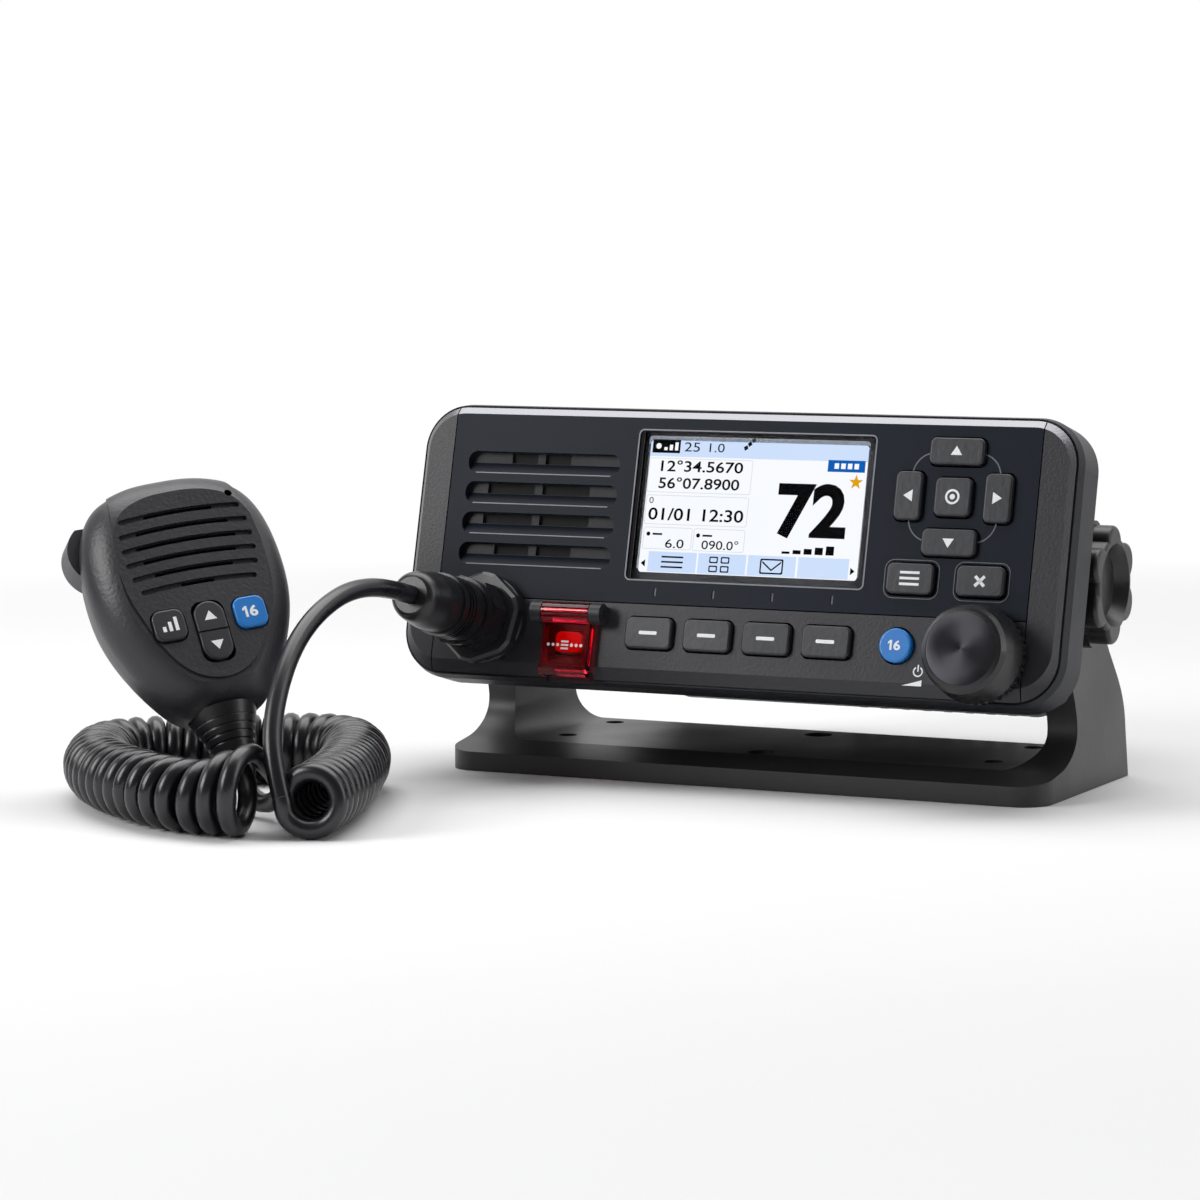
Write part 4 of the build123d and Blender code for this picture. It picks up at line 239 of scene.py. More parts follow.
def panel_with_painted_highlight(name, one, other, roughness, grain, depth, highlight_tone, highlight_roughness, specular):
    """Panel paint on the flat front and a painted highlight, a silver metallic band, on the bevel round it.
    """
    finish = Finish(name, roughness, specular=specular)
    facing = finish.node("ShaderNodeVectorMath", operation="DOT_PRODUCT")
    facing.inputs[1].default_value = FACE_OUT
    finish.join(finish.node("ShaderNodeTexCoord").outputs["Normal"], facing.inputs[0])
    slope = finish.spread(facing.outputs["Value"], 1, 0, BEVEL_FACING, FRONT_FACING)
    # only near the rim, and fading out towards the bottom edge, where the bevel is left dark as painted
    # shade
    level = finish.along(FACE_UP, FACE_ORIGIN)
    reach = [
        finish.math("MAXIMUM", finish.beyond(distance, core), 0.0)
        for distance, core in ((finish.along(FACE_RIGHT, FACE_ORIGIN), RIM_CORE_X), (level, RIM_CORE_V))
    ]
    squares = [finish.math("MULTIPLY", part, part) for part in reach]
    distance = finish.math("SQRT", finish.math("ADD", *squares))
    near_rim = finish.spread(distance, 0, 1, RIM_START * MM, (RIM_START + RIM_FADE) * MM)
    height = finish.spread(level, 0, 1, HIGHLIGHT_GONE, HIGHLIGHT_WHOLE)
    # where the bevel takes the painted highlight in place of the panel's paint
    bevel = finish.math("MULTIPLY", finish.math("MULTIPLY", slope, near_rim), height)
    paint = finish.blend(finish.spread(finish.noise(0.02, 3.0), 0, 1), one, other)
    finish.join(finish.blend(bevel, paint, highlight_tone), finish.shader.inputs["Base Color"])
    finish.join(finish.spread(bevel, 0, 0.9, 0, 1), finish.shader.inputs["Metallic"])
    finish.join(finish.spread(bevel, roughness, highlight_roughness, 0, 1), finish.shader.inputs["Roughness"])
    finish.grain(grain, depth)
    return finish.material


def clear_plastic(name, colour, roughness, ior, depth):
    """Clear tinted plastic, slightly uneven."""
    finish = Finish(name, roughness)
    finish.shader.inputs["Transmission Weight"].default_value = 1.0
    finish.shader.inputs["IOR"].default_value = ior
    finish.colour(colour)
    finish.grain(0.004, depth)
    return finish.material


def bordered_window(name, colour, border, ior, centre, half_width, half_height):
    """A clear window whose edge is printed dark all round the screen."""
    clear_roughness, border_roughness = 0.02, 0.3
    finish = Finish(name, clear_roughness)
    finish.shader.inputs["IOR"].default_value = ior
    sides = finish.beyond(finish.along(FACE_RIGHT, centre), half_width)
    ends = finish.beyond(finish.along(FACE_UP, centre), half_height)
    print_edge = 0.00005
    is_printed = finish.spread(finish.math("MAXIMUM", sides, ends), 0, 1, 0.0, print_edge)
    finish.join(finish.blend(is_printed, colour, border), finish.shader.inputs["Base Color"])
    finish.join(finish.spread(is_printed, 1, 0, 0, 1), finish.shader.inputs["Transmission Weight"])
    roughness = finish.spread(is_printed, clear_roughness, border_roughness, 0, 1)
    finish.join(roughness, finish.shader.inputs["Roughness"])
    return finish.material


def lit(name, one, other):
    """A patch of the lit screen."""
    finish = Finish(name, 0.4, specular=0.0)
    finish.colour((0, 0, 0, 1))
    finish.shader.inputs["Emission Strength"].default_value = 1.0
    patches = finish.spread(finish.noise(0.03, 1.0), 0, 1)
    finish.join(finish.blend(patches, one, other), finish.shader.inputs["Emission Color"])
    return finish.material


def printed(name, one, other, roughness=0.5):
    """Thin paint or ink with a faint unevenness."""
    finish = Finish(name, roughness)
    finish.colour(one, other, 0.001)
    finish.grain(0.0004, 0.000006)
    return finish.material


bracket_plastic = moulded("bracket_plastic", tone(40, 39, 40), tone(46, 45, 46), 0.4, 0.0006, 0.00003)
knob_plastic = moulded("knob_plastic", tone(22, 22, 24), tone(27, 27, 29), 0.38, 0.0007, 0.00003)
housing_plastic = moulded("housing_plastic", tone(33, 34, 38), tone(38, 39, 43), 0.42, 0.0005, 0.00004, 0.2)
# the panel and the cheeks carry a silver painted highlight on their bevels: the tone and roughness after
# the grain's depth
panel_paint = panel_with_painted_highlight(
    "panel_paint", tone(26, 31, 40), tone(29, 34, 43), 0.4, 0.0004, 0.000006,
    tone(122, 122, 126), 0.26, 0.1,
)
cheek_plastic = panel_with_painted_highlight(
    "cheek_plastic", tone(37, 37, 41), tone(42, 42, 46), 0.42, 0.00045, 0.00005,
    tone(118, 118, 122), 0.32, 0.4,
)
# the window's middle height, and the part of it that is left clear
WINDOW_V = 10.55
CLEAR_X = 5.7
CLEAR_HALF_WIDTH = 32.4
CLEAR_HALF_HEIGHT = 19.2
window_clear = bordered_window(
    "window_clear", tone(252, 253, 255), tone(14, 14, 18), 1.12,
    FACE_ORIGIN + CLEAR_X * FACE_RIGHT + WINDOW_V * FACE_UP, CLEAR_HALF_WIDTH, CLEAR_HALF_HEIGHT,
)
cover_red = clear_plastic("cover_red", tone(255, 40, 66), 0.05, 1.42, 0.000004)
lcd_glass = moulded("lcd_glass", tone(14, 14, 18), tone(18, 18, 22), 0.3, 0.002, 0.000004)
key_rubber = moulded("key_rubber", tone(34, 35, 40), tone(39, 40, 45), 0.4, 0.0009, 0.00005)
key_blue = moulded("key_blue", tone(20, 112, 190), tone(28, 124, 204), 0.32, 0.0009, 0.00002, coat=0.3)
mat_rubber = moulded("mat_rubber", tone(40, 40, 42), tone(48, 48, 50), 0.7, 0.001, 0.00002)
gasket_rubber = moulded("gasket_rubber", tone(16, 16, 17), tone(20, 20, 21), 0.7, 0.001, 0.00002)
circuit_board = moulded("circuit_board", tone(16, 86, 46), tone(22, 98, 56), 0.35, 0.002, 0.00001)
speaker_frame = moulded("speaker_frame", tone(24, 24, 25), tone(30, 30, 31), 0.5, 0.0008, 0.00002)
dial_plastic = moulded("dial_plastic", tone(26, 26, 28), tone(31, 31, 33), 0.28, 0.0006, 0.00001)
button_red = moulded("button_red", tone(225, 22, 40), tone(235, 34, 52), 0.35, 0.0009, 0.00002)
socket_plastic = moulded("socket_plastic", tone(28, 28, 31), tone(34, 34, 37), 0.3, 0.0006, 0.00002)
plug_plastic = moulded("plug_plastic", tone(20, 20, 23), tone(25, 25, 28), 0.26, 0.0007, 0.00002)
boot_rubber = moulded("boot_rubber", tone(20, 20, 23), tone(26, 26, 29), 0.3, 0.0008, 0.00002)
chassis_paint = moulded("chassis_paint", tone(24, 24, 26), tone(30, 30, 32), 0.5, 0.0008, 0.00008)
gland_plastic = moulded("gland_plastic", tone(20, 20, 21), tone(26, 26, 27), 0.45, 0.0008, 0.00002)
mic_plastic = moulded("mic_plastic", tone(33, 33, 37), tone(39, 39, 43), 0.4, 0.0006, 0.00008)
mic_key_grey = moulded("mic_key_grey", tone(36, 36, 40), tone(42, 42, 46), 0.36, 0.0008, 0.00003)
cord_black = moulded("cord_black", tone(16, 15, 20), tone(21, 20, 25), 0.3, 0.0012, 0.00001, 0.6)
screw_steel = metal("screw_steel", tone(165, 165, 168), tone(185, 185, 188), 0.32)
pin_black = moulded("pin_black", tone(30, 30, 32), tone(36, 36, 38), 0.22, 0.0008, 0.00001)
encoder_metal = metal("encoder_metal", tone(150, 150, 152), tone(170, 170, 172), 0.35)
antenna_nickel = metal("antenna_nickel", tone(190, 188, 182), tone(205, 203, 198), 0.2)

FINISHES = {
    bracket_plastic: ["bracket"],
    knob_plastic: ["knob_left", "knob_right"],
    housing_plastic: ["front_housing"],
    panel_paint: ["upper_panel"],
    cheek_plastic: ["left_cheek", "right_cheek", "lower_panel"],
    window_clear: ["display_window"],
    cover_red: ["distress_cover"],
    lcd_glass: ["lcd_module"],
    key_rubber: [
        "key_up", "key_down", "key_left", "key_right", "key_enter", "key_menu", "key_clear",
        "soft_key_1", "soft_key_2", "soft_key_3", "soft_key_4",
    ],
    key_blue: ["key_sixteen", "mic_key_sixteen"],
    mat_rubber: ["key_mat"],
    gasket_rubber: ["front_gasket", "bracket_washers"],
    circuit_board: ["front_board", "main_board", "mic_board"],
    speaker_frame: ["speaker", "mic_speaker"],
    dial_plastic: ["dial_knob"],
    button_red: ["distress_button"],
    socket_plastic: ["mic_socket"],
    plug_plastic: ["plug_body", "plug_nut"],
    boot_rubber: ["plug_boot", "mic_boot"],
    chassis_paint: ["chassis"],
    gland_plastic: ["power_gland", "data_socket"],
    mic_plastic: ["mic_front_shell", "mic_rear_shell"],
    mic_key_grey: ["ptt_button", "mic_key_power", "mic_rocker"],
    cord_black: ["cord_lead", "cord_coil", "cord_tail"],
    screw_steel: ["knob_bolt_left", "knob_bolt_right", "housing_screws", "mic_screws"],
    pin_black: ["distress_pin"],
    encoder_metal: ["encoder", "encoder_plunger", "dial_shaft"],
    antenna_nickel: ["antenna_socket", "mic_hanger_stud"],
}
for material, names in FINISHES.items():
    for name in names:
        mesh = nodes[name].data
        mesh.materials.clear()
        mesh.materials.append(material)


# ---------------------------------------------------------------- shapes on a plane
def rounded(x, v, width, height, corner, steps=6):
    """Outline of a rounded rectangle, counter-clockwise."""
    points = []
    for turn, (side, rise) in enumerate(((1, 1), (-1, 1), (-1, -1), (1, -1))):
        for k in range(steps + 1):
            angle = (turn + k / steps) * pi / 2
            points.append((
                x + side * (width / 2 - corner) + corner * cos(angle),
                v + rise * (height / 2 - corner) + corner * sin(angle),
            ))
    return points


def box(x0, v0, x1, v1):
    """Outline of a rectangle from its lower left to its upper right corner."""
    return [(x0, v0), (x1, v0), (x1, v1), (x0, v1)]


def turned(x, v, points, angle):
    """Points about the origin, turned by an angle and moved to x and v."""
    return [(x + a * cos(angle) - b * sin(angle), v + a * sin(angle) + b * cos(angle)) for a, b in points]


def triangle(x, v, width, height, way):
    """An arrow head that points right at 0 degrees, up at 90."""
    corners = ((height / 2, 0), (-height / 2, width / 2), (-height / 2, -width / 2))
    return turned(x, v, corners, radians(way))


def star(x, v, radius):
    """Outline of a star with five points, one of them up."""
    points = []
    for k in range(10):
        reach = radius if k % 2 == 0 else radius * 0.4
        angle = pi / 2 + k * pi / 5
        points.append((x + reach * cos(angle), v + reach * sin(angle)))
    return points


def circle(x, v, radius, count=32):
    angles = [2 * pi * k / count for k in range(count)]
    return [(x + radius * cos(angle), v + radius * sin(angle)) for angle in angles]


class Marks:
    """Thin closed plates, bands and figures gathered into one piece on a plane."""

    def __init__(self, low, high):
        self.mesh = bmesh.new()
        self.low = low
        self.high = high

    def plate(self, outline):
        """A closed plate with this outline."""
        rims = [[self.mesh.verts.new((x, v, h)) for x, v in outline] for h in (self.low, self.high)]
        self.mesh.faces.new(list(reversed(rims[0])))
        self.mesh.faces.new(rims[1])
        count = len(outline)
        for k in range(count):
            n = (k + 1) % count
            self.mesh.faces.new((rims[0][k], rims[0][n], rims[1][n], rims[1][k]))
        return self

    def band(self, outer, inner):
        """A closed frame between two outlines that have as many points."""
        rims = [
            [self.mesh.verts.new((x, v, h)) for x, v in ring]
            for ring in (outer, inner)
            for h in (self.low, self.high)
        ]
        out_low, out_high, in_low, in_high = rims
        count = len(outer)
        for k in range(count):
            n = (k + 1) % count
            self.mesh.faces.new((out_low[k], out_low[n], out_high[n], out_high[k]))
            self.mesh.faces.new((out_high[k], out_high[n], in_high[n], in_high[k]))
            self.mesh.faces.new((in_high[k], in_high[n], in_low[n], in_low[k]))
            self.mesh.faces.new((in_low[k], in_low[n], out_low[n], out_low[k]))
        return self

    def figures(self, text, x0, v0, x1, v1, weight=0.0):
        """Figures drawn to fill a box; weight thickens their strokes."""
        curve = bpy.data.curves.new("figures", "FONT")
        curve.body = text
        curve.resolution_u = 4
        curve.extrude = 0.05
        curve.offset = weight
        holder = bpy.data.objects.new("figures", curve)
        bpy.context.scene.collection.objects.link(holder)
        depsgraph = bpy.context.evaluated_depsgraph_get()
        flat = bpy.data.meshes.new_from_object(holder.evaluated_get(depsgraph))
        bpy.data.objects.remove(holder)
        bpy.data.curves.remove(curve)
        xs = [vert.co.x for vert in flat.vertices]
        vs = [vert.co.y for vert in flat.vertices]
        left, foot = min(xs), min(vs)
        wide, tall = max(xs) - left, max(vs) - foot
        for vert in flat.vertices:
            vert.co = (
                x0 + (vert.co.x - left) / wide * (x1 - x0),
                v0 + (vert.co.y - foot) / tall * (v1 - v0),
                self.low if vert.co.z < 0 else self.high,
            )
        self.mesh.from_mesh(flat)
        bpy.data.meshes.remove(flat)
        return self

    def piece(self, name, plane, material, body):
        """What has been gathered, as one piece on a plane, riding on a body."""
        bmesh.ops.remove_doubles(self.mesh, verts=self.mesh.verts, dist=1e-5)
        bmesh.ops.recalc_face_normals(self.mesh, faces=self.mesh.faces)
        mesh = bpy.data.meshes.new(name)
        self.mesh.to_mesh(mesh)
        self.mesh.free()
        mesh.transform(plane)
        return set_piece(name, mesh, material, body)


def set_piece(name, mesh, material, body, smooth=False):
    """A mesh put in the scene as a piece; a body of None leaves it riding on no body."""
    mesh.materials.clear()
    mesh.materials.append(material)
    if smooth:
        mesh.polygons.foreach_set("use_smooth", [True] * len(mesh.polygons))
    made = bpy.data.objects.new(name, mesh)
    bpy.context.scene.collection.objects.link(made)
    if body:
        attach(made, body)
    return made


def smooth_line(name, points, steps):
    """Points along the NURBS line that has these control points."""
    curve = bpy.data.curves.new(name, "CURVE")
    curve.dimensions = "3D"
    add_spline(curve, points)
    curve.resolution_u = steps
    holder = bpy.data.objects.new(name, curve)
    bpy.context.scene.collection.objects.link(holder)
    depsgraph = bpy.context.evaluated_depsgraph_get()
    line = bpy.data.meshes.new_from_object(holder.evaluated_get(depsgraph))
    found = [vert.co.copy() for vert in line.vertices]
    bpy.data.objects.remove(holder)
    bpy.data.curves.remove(curve)
    bpy.data.meshes.remove(line)
    return found


def add_spline(curve, points):
    """A NURBS line of order three that ends at its first and last points."""
    spline = curve.splines.new("NURBS")
    spline.points.add(len(points) - 1)
    for slot, point in zip(spline.points, points):
        slot.co = (*point, 1.0)
    spline.order_u = 3
    spline.use_endpoint_u = True


def tube(line, radius, sides):
    """A round tube along a line of points, its ends closed."""
    made = bmesh.new()
    ahead = (line[1] - line[0]).normalized()
    across = ahead.cross(Vector((0, 0, 1))).normalized()
    rings = []
    for k, point in enumerate(line):
        step = (line[min(k + 1, len(line) - 1)] - line[max(k - 1, 0)]).normalized()
        across = (across - step * across.dot(step)).normalized()
        other = step.cross(across)
        angles = [2 * pi * j / sides for j in range(sides)]
        rings.append([
            made.verts.new(point + radius * (cos(angle) * across + sin(angle) * other)) for angle in angles
        ])
    for ring, following in zip(rings, rings[1:]):
        for j in range(sides):
            n = (j + 1) % sides
            made.faces.new((ring[j], ring[n], following[n], following[j]))
    made.faces.new(list(reversed(rings[0])))
    made.faces.new(rings[-1])
    bmesh.ops.recalc_face_normals(made, faces=made.faces)
    mesh = bpy.data.meshes.new("tube")
    made.to_mesh(mesh)
    made.free()
    return mesh


# ---------------------------------------------------------------- cord, in metres
CORD_DIAMETER = 0.0047
CURL_RADIUS = 0.00665
CURL_HEIGHT = 0.009
CURL_START = 0.003
CURL_STOP = 0.0015
CURL_END_ANGLE = radians(315)
CURL_STEPS = 4000
POINTS_PER_TURN = 12
# the last turns grow by this much over this length
SWELL = 0.0022
SWELL_LENGTH = 0.014
# how far the lead runs into the curl, and the curl on in the lead's direction
LEAD_OVERLAP = 0.0003
LEAD_ON = 0.0014

# the middle of the microphone's socket on the face, the boot's end and the first bend out of it
SOCKET_X, SOCKET_V = -66.2, -21.05
BOOT_END = 41.9
LEAD_BEND = 54.7

lead_route = [face_point(SOCKET_X, SOCKET_V, BOOT_END), face_point(SOCKET_X, SOCKET_V, LEAD_BEND)] + [
    Vector(point) * MM
    for point in (
        (-68.2, -106.0, 54.9),
        (-69.6, -118.3, 51.2),
        (-69.9, -129.5, 44.8),
        (-68.8, -139.0, 36.4),
        (-67.2, -146.2, 26.2),
        (-64.4, -150.3, 17.4),
        (-61.8, -151.2, 10.0),
    )
]
lead_line = smooth_line("lead_line", lead_route, 12)
lead_way = (lead_line[-1] - lead_line[-2]).normalized()
lead_end = lead_line[-1] + lead_way * LEAD_OVERLAP
lead_mesh = tube(lead_line + [lead_end], CORD_DIAMETER / 2, 20)
handset_lead = set_piece("handset_lead", lead_mesh, cord_black, None, smooth=True)
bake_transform(handset_lead)
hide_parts("cord_lead")

coil_route = [
    (-54.5, -152.6), (-60.5, -129.5), (-70.5, -104.5), (-82.0, -80.0), (-91.0, -67.5),
    (-104.0, -66.5), (-120.0, -78.0), (-137.0, -89.0), (-143.5, -100.5), (-136.5, -116.0),
    (-124.0, -131.0), (-108.5, -142.5), (-93.5, -150.5), (-81.0, -153.2), (-68.4, -151.6),
]
coil_line = smooth_line("coil_line", [Vector((x * MM, y * MM, CURL_HEIGHT)) for x, y in coil_route], 16)
# distance along the curl and distance between its turns there: tight at first, looser along the front
CURL_PITCH = [(0.0, 0.0049), (0.105, 0.0049), (0.15, 0.005), (0.21, 0.0051), (0.24, 0.0054), (0.26, 0.006)]


def pitch_at(distance):
    """The distance between turns at a distance along the curl."""
    for (d0, p0), (d1, p1) in zip(CURL_PITCH, CURL_PITCH[1:]):
        if distance <= d1:
            return p0 + (p1 - p0) * (distance - d0) / (d1 - d0)
    return CURL_PITCH[-1][1]


def curl_points(line):
    """Control points of the curl: a helix about a line, a dozen points to each turn."""
    lengths = [0.0]
    for a, b in zip(line, line[1:]):
        lengths.append(lengths[-1] + (b - a).length)
    stop = lengths[-1] - CURL_STOP
    stretch = (stop - CURL_START) / CURL_STEPS
    # the angle wound up to each step, then fitted to whole turns and the end angle
    angles = [0.0]
    for k in range(CURL_STEPS):
        angles.append(angles[-1] + 2 * pi * stretch / pitch_at(CURL_START + (k + 0.5) * stretch))
    turns = round((angles[-1] - CURL_END_ANGLE) / (2 * pi))
    fit = (turns * 2 * pi + CURL_END_ANGLE) / angles[-1]
    # the curve runs inside its control points, so these lie further out
    inflate = 1 / (0.75 + 0.25 * cos(2 * pi / POINTS_PER_TURN))
    count = turns * POINTS_PER_TURN + round(CURL_END_ANGLE / (2 * pi) * POINTS_PER_TURN)
    points, k, seg = [], 0, 0
    for j in range(count + 1):
        wanted = (turns * 2 * pi + CURL_END_ANGLE) * j / count
        while k < CURL_STEPS and angles[k + 1] * fit < wanted:
            k += 1
        along = CURL_START + k * stretch
        while seg < len(lengths) - 2 and lengths[seg + 1] < along:
            seg += 1
        share = (along - lengths[seg]) / (lengths[seg + 1] - lengths[seg])
        centre = line[seg].lerp(line[seg + 1], share)
        way = (line[min(seg + 2, len(line) - 1)] - line[max(seg - 1, 0)]).normalized()
        left = Vector((0, 0, 1)).cross(way).normalized()
        # the last turns are wider and stand a little higher
        late = min(1.0, max(0.0, 1 - (stop - along) / SWELL_LENGTH))
        swell = SWELL * late * late * (3 - 2 * late)
        centre += Vector((0, 0, swell))
        reach = (CURL_RADIUS + swell) * inflate
        points.append(centre + reach * (cos(wanted) * left - sin(wanted) * Vector((0, 0, 1))))
    return points


# the tail goes straight into the end of the microphone's boot
MIC_BOOT_END = -41.0
TAIL_STRAIGHT = 0.0122
mic_tip = mic_point(0, MIC_BOOT_END, 1.0)
tail_route = [Vector(point) * MM for point in ((-72.4, -132.6, 9.6), (-77.8, -127.8, 3.9))]
tail_route += [mic_tip - MIC_UP * TAIL_STRAIGHT, mic_tip]
curl = bpy.data.curves.new("curly_cord", "CURVE")
curl.dimensions = "3D"
curl_route = curl_points(coil_line)
# the curl takes over where the lead ends, in the lead's own direction
curl_route[0:1] = [lead_line[-1], lead_line[-1] + lead_way * LEAD_ON]
add_spline(curl, curl_route + tail_route)
curl.resolution_u = 3
curl.bevel_depth = CORD_DIAMETER / 2
curl.bevel_resolution = 4
curl.use_fill_caps = True
curl.materials.append(cord_black)
curly_cord = bpy.data.objects.new("curly_cord", curl)
bpy.context.scene.collection.objects.link(curly_cord)
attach(curly_cord, "bracket")
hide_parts("cord_coil", "cord_tail")

# ---------------------------------------------------------------- screen
# the screen's front, the step between layers of print and how thick each is
SCREEN_FRONT = -2.048
LAYER_STEP = 0.01
LAYER_DEPTH = 0.005
page_white = lit("page_white", tone(250, 252, 255), tone(255, 255, 255))
page_blue = lit("page_blue", tone(205, 224, 252), tone(214, 230, 253))
page_grey = lit("page_grey", tone(214, 216, 220), tone(222, 224, 228))
page_navy = lit("page_navy", tone(6, 92, 176), tone(10, 98, 184))
page_gold = lit("page_gold", tone(224, 160, 0), tone(232, 170, 8))
page_ink = lit("page_ink", tone(4, 4, 6), tone(8, 8, 10))


def layer(order):
    """Marks in one layer of the screen's print, counted from the page itself."""
    low = SCREEN_FRONT + LAYER_STEP * order
    return Marks(low, low + LAYER_DEPTH)


layer(0).plate(rounded(4.6, 11.15, 61.2, 35.3, 1.0)).piece("screen_page", FACE, page_white, "radio")
bars = layer(1)
bars.plate(box(-25.9, 23.5, 35.1, 28.4))
for x0, x1 in ((-22.9, -9.4), (-8.9, 4.4), (4.9, 18.1), (18.7, 32.5)):
    bars.plate(box(x0, -6.3, x1, -1.1))
bars.piece("screen_bars", FACE, page_blue, "radio")
boxes = layer(1)
BOX_LINE = 0.3
for x0, v0, x1, v1 in (
    (-25.4, 14.2, 3.6, 23.1),
    (-25.2, 5.9, 3.5, 13.5),
    (-25.0, -0.5, -11.3, 5.2),
    (-10.9, -0.6, 3.4, 5.2),
):
    x, v, width, height = (x0 + x1) / 2, (v0 + v1) / 2, x1 - x0, v1 - v0
    boxes.band(
        rounded(x, v, width, height, 0.6),
        rounded(x, v, width - BOX_LINE, height - BOX_LINE, 0.45),
    )
boxes.piece("screen_boxes", FACE, page_grey, "radio")
layer(1).plate(box(24.2, 20.8, 34.3, 23.8)).piece("screen_label", FACE, page_navy, "radio")
layer(1).plate(star(32.2, 18.3, 2.0)).piece("screen_star", FACE, page_gold, "radio")

BOLD = 0.014
HALF_BOLD = 0.006
EXTRA_BOLD = 0.035
ink = layer(2)
ink.plate(box(-24.9, 24.4, -17.1, 27.9))
ink.figures("25", -15.9, 24.9, -11.6, 27.3)
ink.figures("1.0", -8.9, 24.9, -4.7, 27.2)
ink.figures("12°34.5670", -22.0, 19.6, 1.0, 22.6, BOLD)
ink.figures("56°07.8900", -22.2, 15.2, 0.4, 18.2, BOLD)
ink.figures("01/01 12:30", -24.2, 7.0, 2.4, 10.2, BOLD)
ink.figures("0", -24.3, 11.3, -23.1, 12.9)
ink.figures("6.0", -18.6, -0.1, -13.4, 2.2, HALF_BOLD)
ink.figures("090.0°", -8.4, -0.1, 1.8, 2.3, HALF_BOLD)
ink.figures("72", 11.4, 3.5, 30.6, 17.7, EXTRA_BOLD)
# signal bars, two small marks and arrows beside their boxes
for k in range(5):
    ink.plate(box(13.9 + 3.0 * k, -0.4, 16.1 + 3.0 * k, 0.2 + 0.42 * k))
for x, v in ((-24.3, 3.4), (-10.3, 3.4)):
    ink.plate(circle(x + 0.7, v, 0.55, 16))
    ink.plate(box(x + 1.9, v - 0.25, x + 4.6, v + 0.25))
for x, way in ((-24.3, 180), (33.6, 0)):
    ink.plate(triangle(x, -4.2, 1.9, 1.2, way))
# a list, a grid, an envelope and a slanted mark
for v in (-2.4, -3.7, -5.0):
    ink.plate(box(-19.2, v - 0.22, -13.1, v + 0.22))
for x in (-4.6, -1.4):
    for v in (-2.7, -5.0):
        ink.band(rounded(x, v, 2.4, 1.7, 0.3, 3), rounded(x, v, 1.7, 1.0, 0.2, 3))
ink.band(rounded(11.5, -3.8, 6.4, 3.9, 0.4, 3), rounded(11.5, -3.8, 5.6, 3.1, 0.3, 3))
ink.plate([(8.9, -2.4), (11.5, -4.5), (14.1, -2.4), (14.1, -2.9), (11.5, -5.0), (8.9, -2.9)])
for k in range(3):
    ink.plate([(1.0 + k, 25.5 + k), (1.9 + k, 26.1 + k), (1.5 + k, 27.0 + k), (0.6 + k, 26.4 + k)])
ink.piece("screen_ink", FACE, page_ink, "radio")
paper = layer(3)
paper.plate(circle(-23.2, 26.15, 0.75, 16))
for k in range(3):
    paper.plate(box(-21.6 + 1.5 * k, 25.1, -20.7 + 1.5 * k, 25.9 + 0.65 * k))
for k in range(4):
    paper.plate(box(26.0 + 1.8 * k, 21.6, 27.2 + 1.8 * k, 23.0))
paper.piece("screen_paper", FACE, page_white, "radio")

# ---------------------------------------------------------------- painted highlights on rims, and marks on the front
# a light grey painted as highlights on edges that catch the light
edge_highlight_grey = printed("edge_highlight_grey", tone(120, 122, 128), tone(130, 132, 138), 0.4)
legend_white = printed("legend_white", tone(232, 233, 235), tone(240, 241, 243))
outline_grey = printed("outline_grey", tone(92, 94, 100), tone(102, 104, 110), 0.45)

# a painted highlight round the display window, where the edge of its recess catches the light
RIM_X = 4.75
rim = Marks(-0.1, 0.06)
rim.band(rounded(RIM_X, WINDOW_V, 66.0, 39.2, 1.5), rounded(RIM_X, WINDOW_V, 65.3, 38.5, 1.15))
rim.piece("display_rim_highlight", FACE, edge_highlight_grey, "radio")


def row_tree():
    """Repeats what it is given along a line; the count, spacing and finish are its inputs."""
    tree = bpy.data.node_groups.new("row", "GeometryNodeTree")
    tree.interface.new_socket("Geometry", in_out="INPUT", socket_type="NodeSocketGeometry")
    tree.interface.new_socket("Count", in_out="INPUT", socket_type="NodeSocketInt")
    tree.interface.new_socket("Spacing", in_out="INPUT", socket_type="NodeSocketVector")
    tree.interface.new_socket("Finish", in_out="INPUT", socket_type="NodeSocketMaterial")
    tree.interface.new_socket("Geometry", in_out="OUTPUT", socket_type="NodeSocketGeometry")
    start = tree.nodes.new("NodeGroupInput")
    line = tree.nodes.new("GeometryNodeMeshLine")
    repeat = tree.nodes.new("GeometryNodeInstanceOnPoints")
    whole = tree.nodes.new("GeometryNodeRealizeInstances")
    coat = tree.nodes.new("GeometryNodeSetMaterial")
    end = tree.nodes.new("NodeGroupOutput")
    tree.links.new(start.outputs["Count"], line.inputs["Count"])
    tree.links.new(start.outputs["Spacing"], line.inputs["Offset"])
    tree.links.new(line.outputs["Mesh"], repeat.inputs["Points"])
    tree.links.new(start.outputs["Geometry"], repeat.inputs["Instance"])
    tree.links.new(repeat.outputs["Instances"], whole.inputs["Geometry"])
    tree.links.new(whole.outputs["Geometry"], coat.inputs["Geometry"])
    tree.links.new(start.outputs["Finish"], coat.inputs["Material"])
    tree.links.new(coat.outputs["Geometry"], end.inputs["Geometry"])
    return tree


ROW = row_tree()


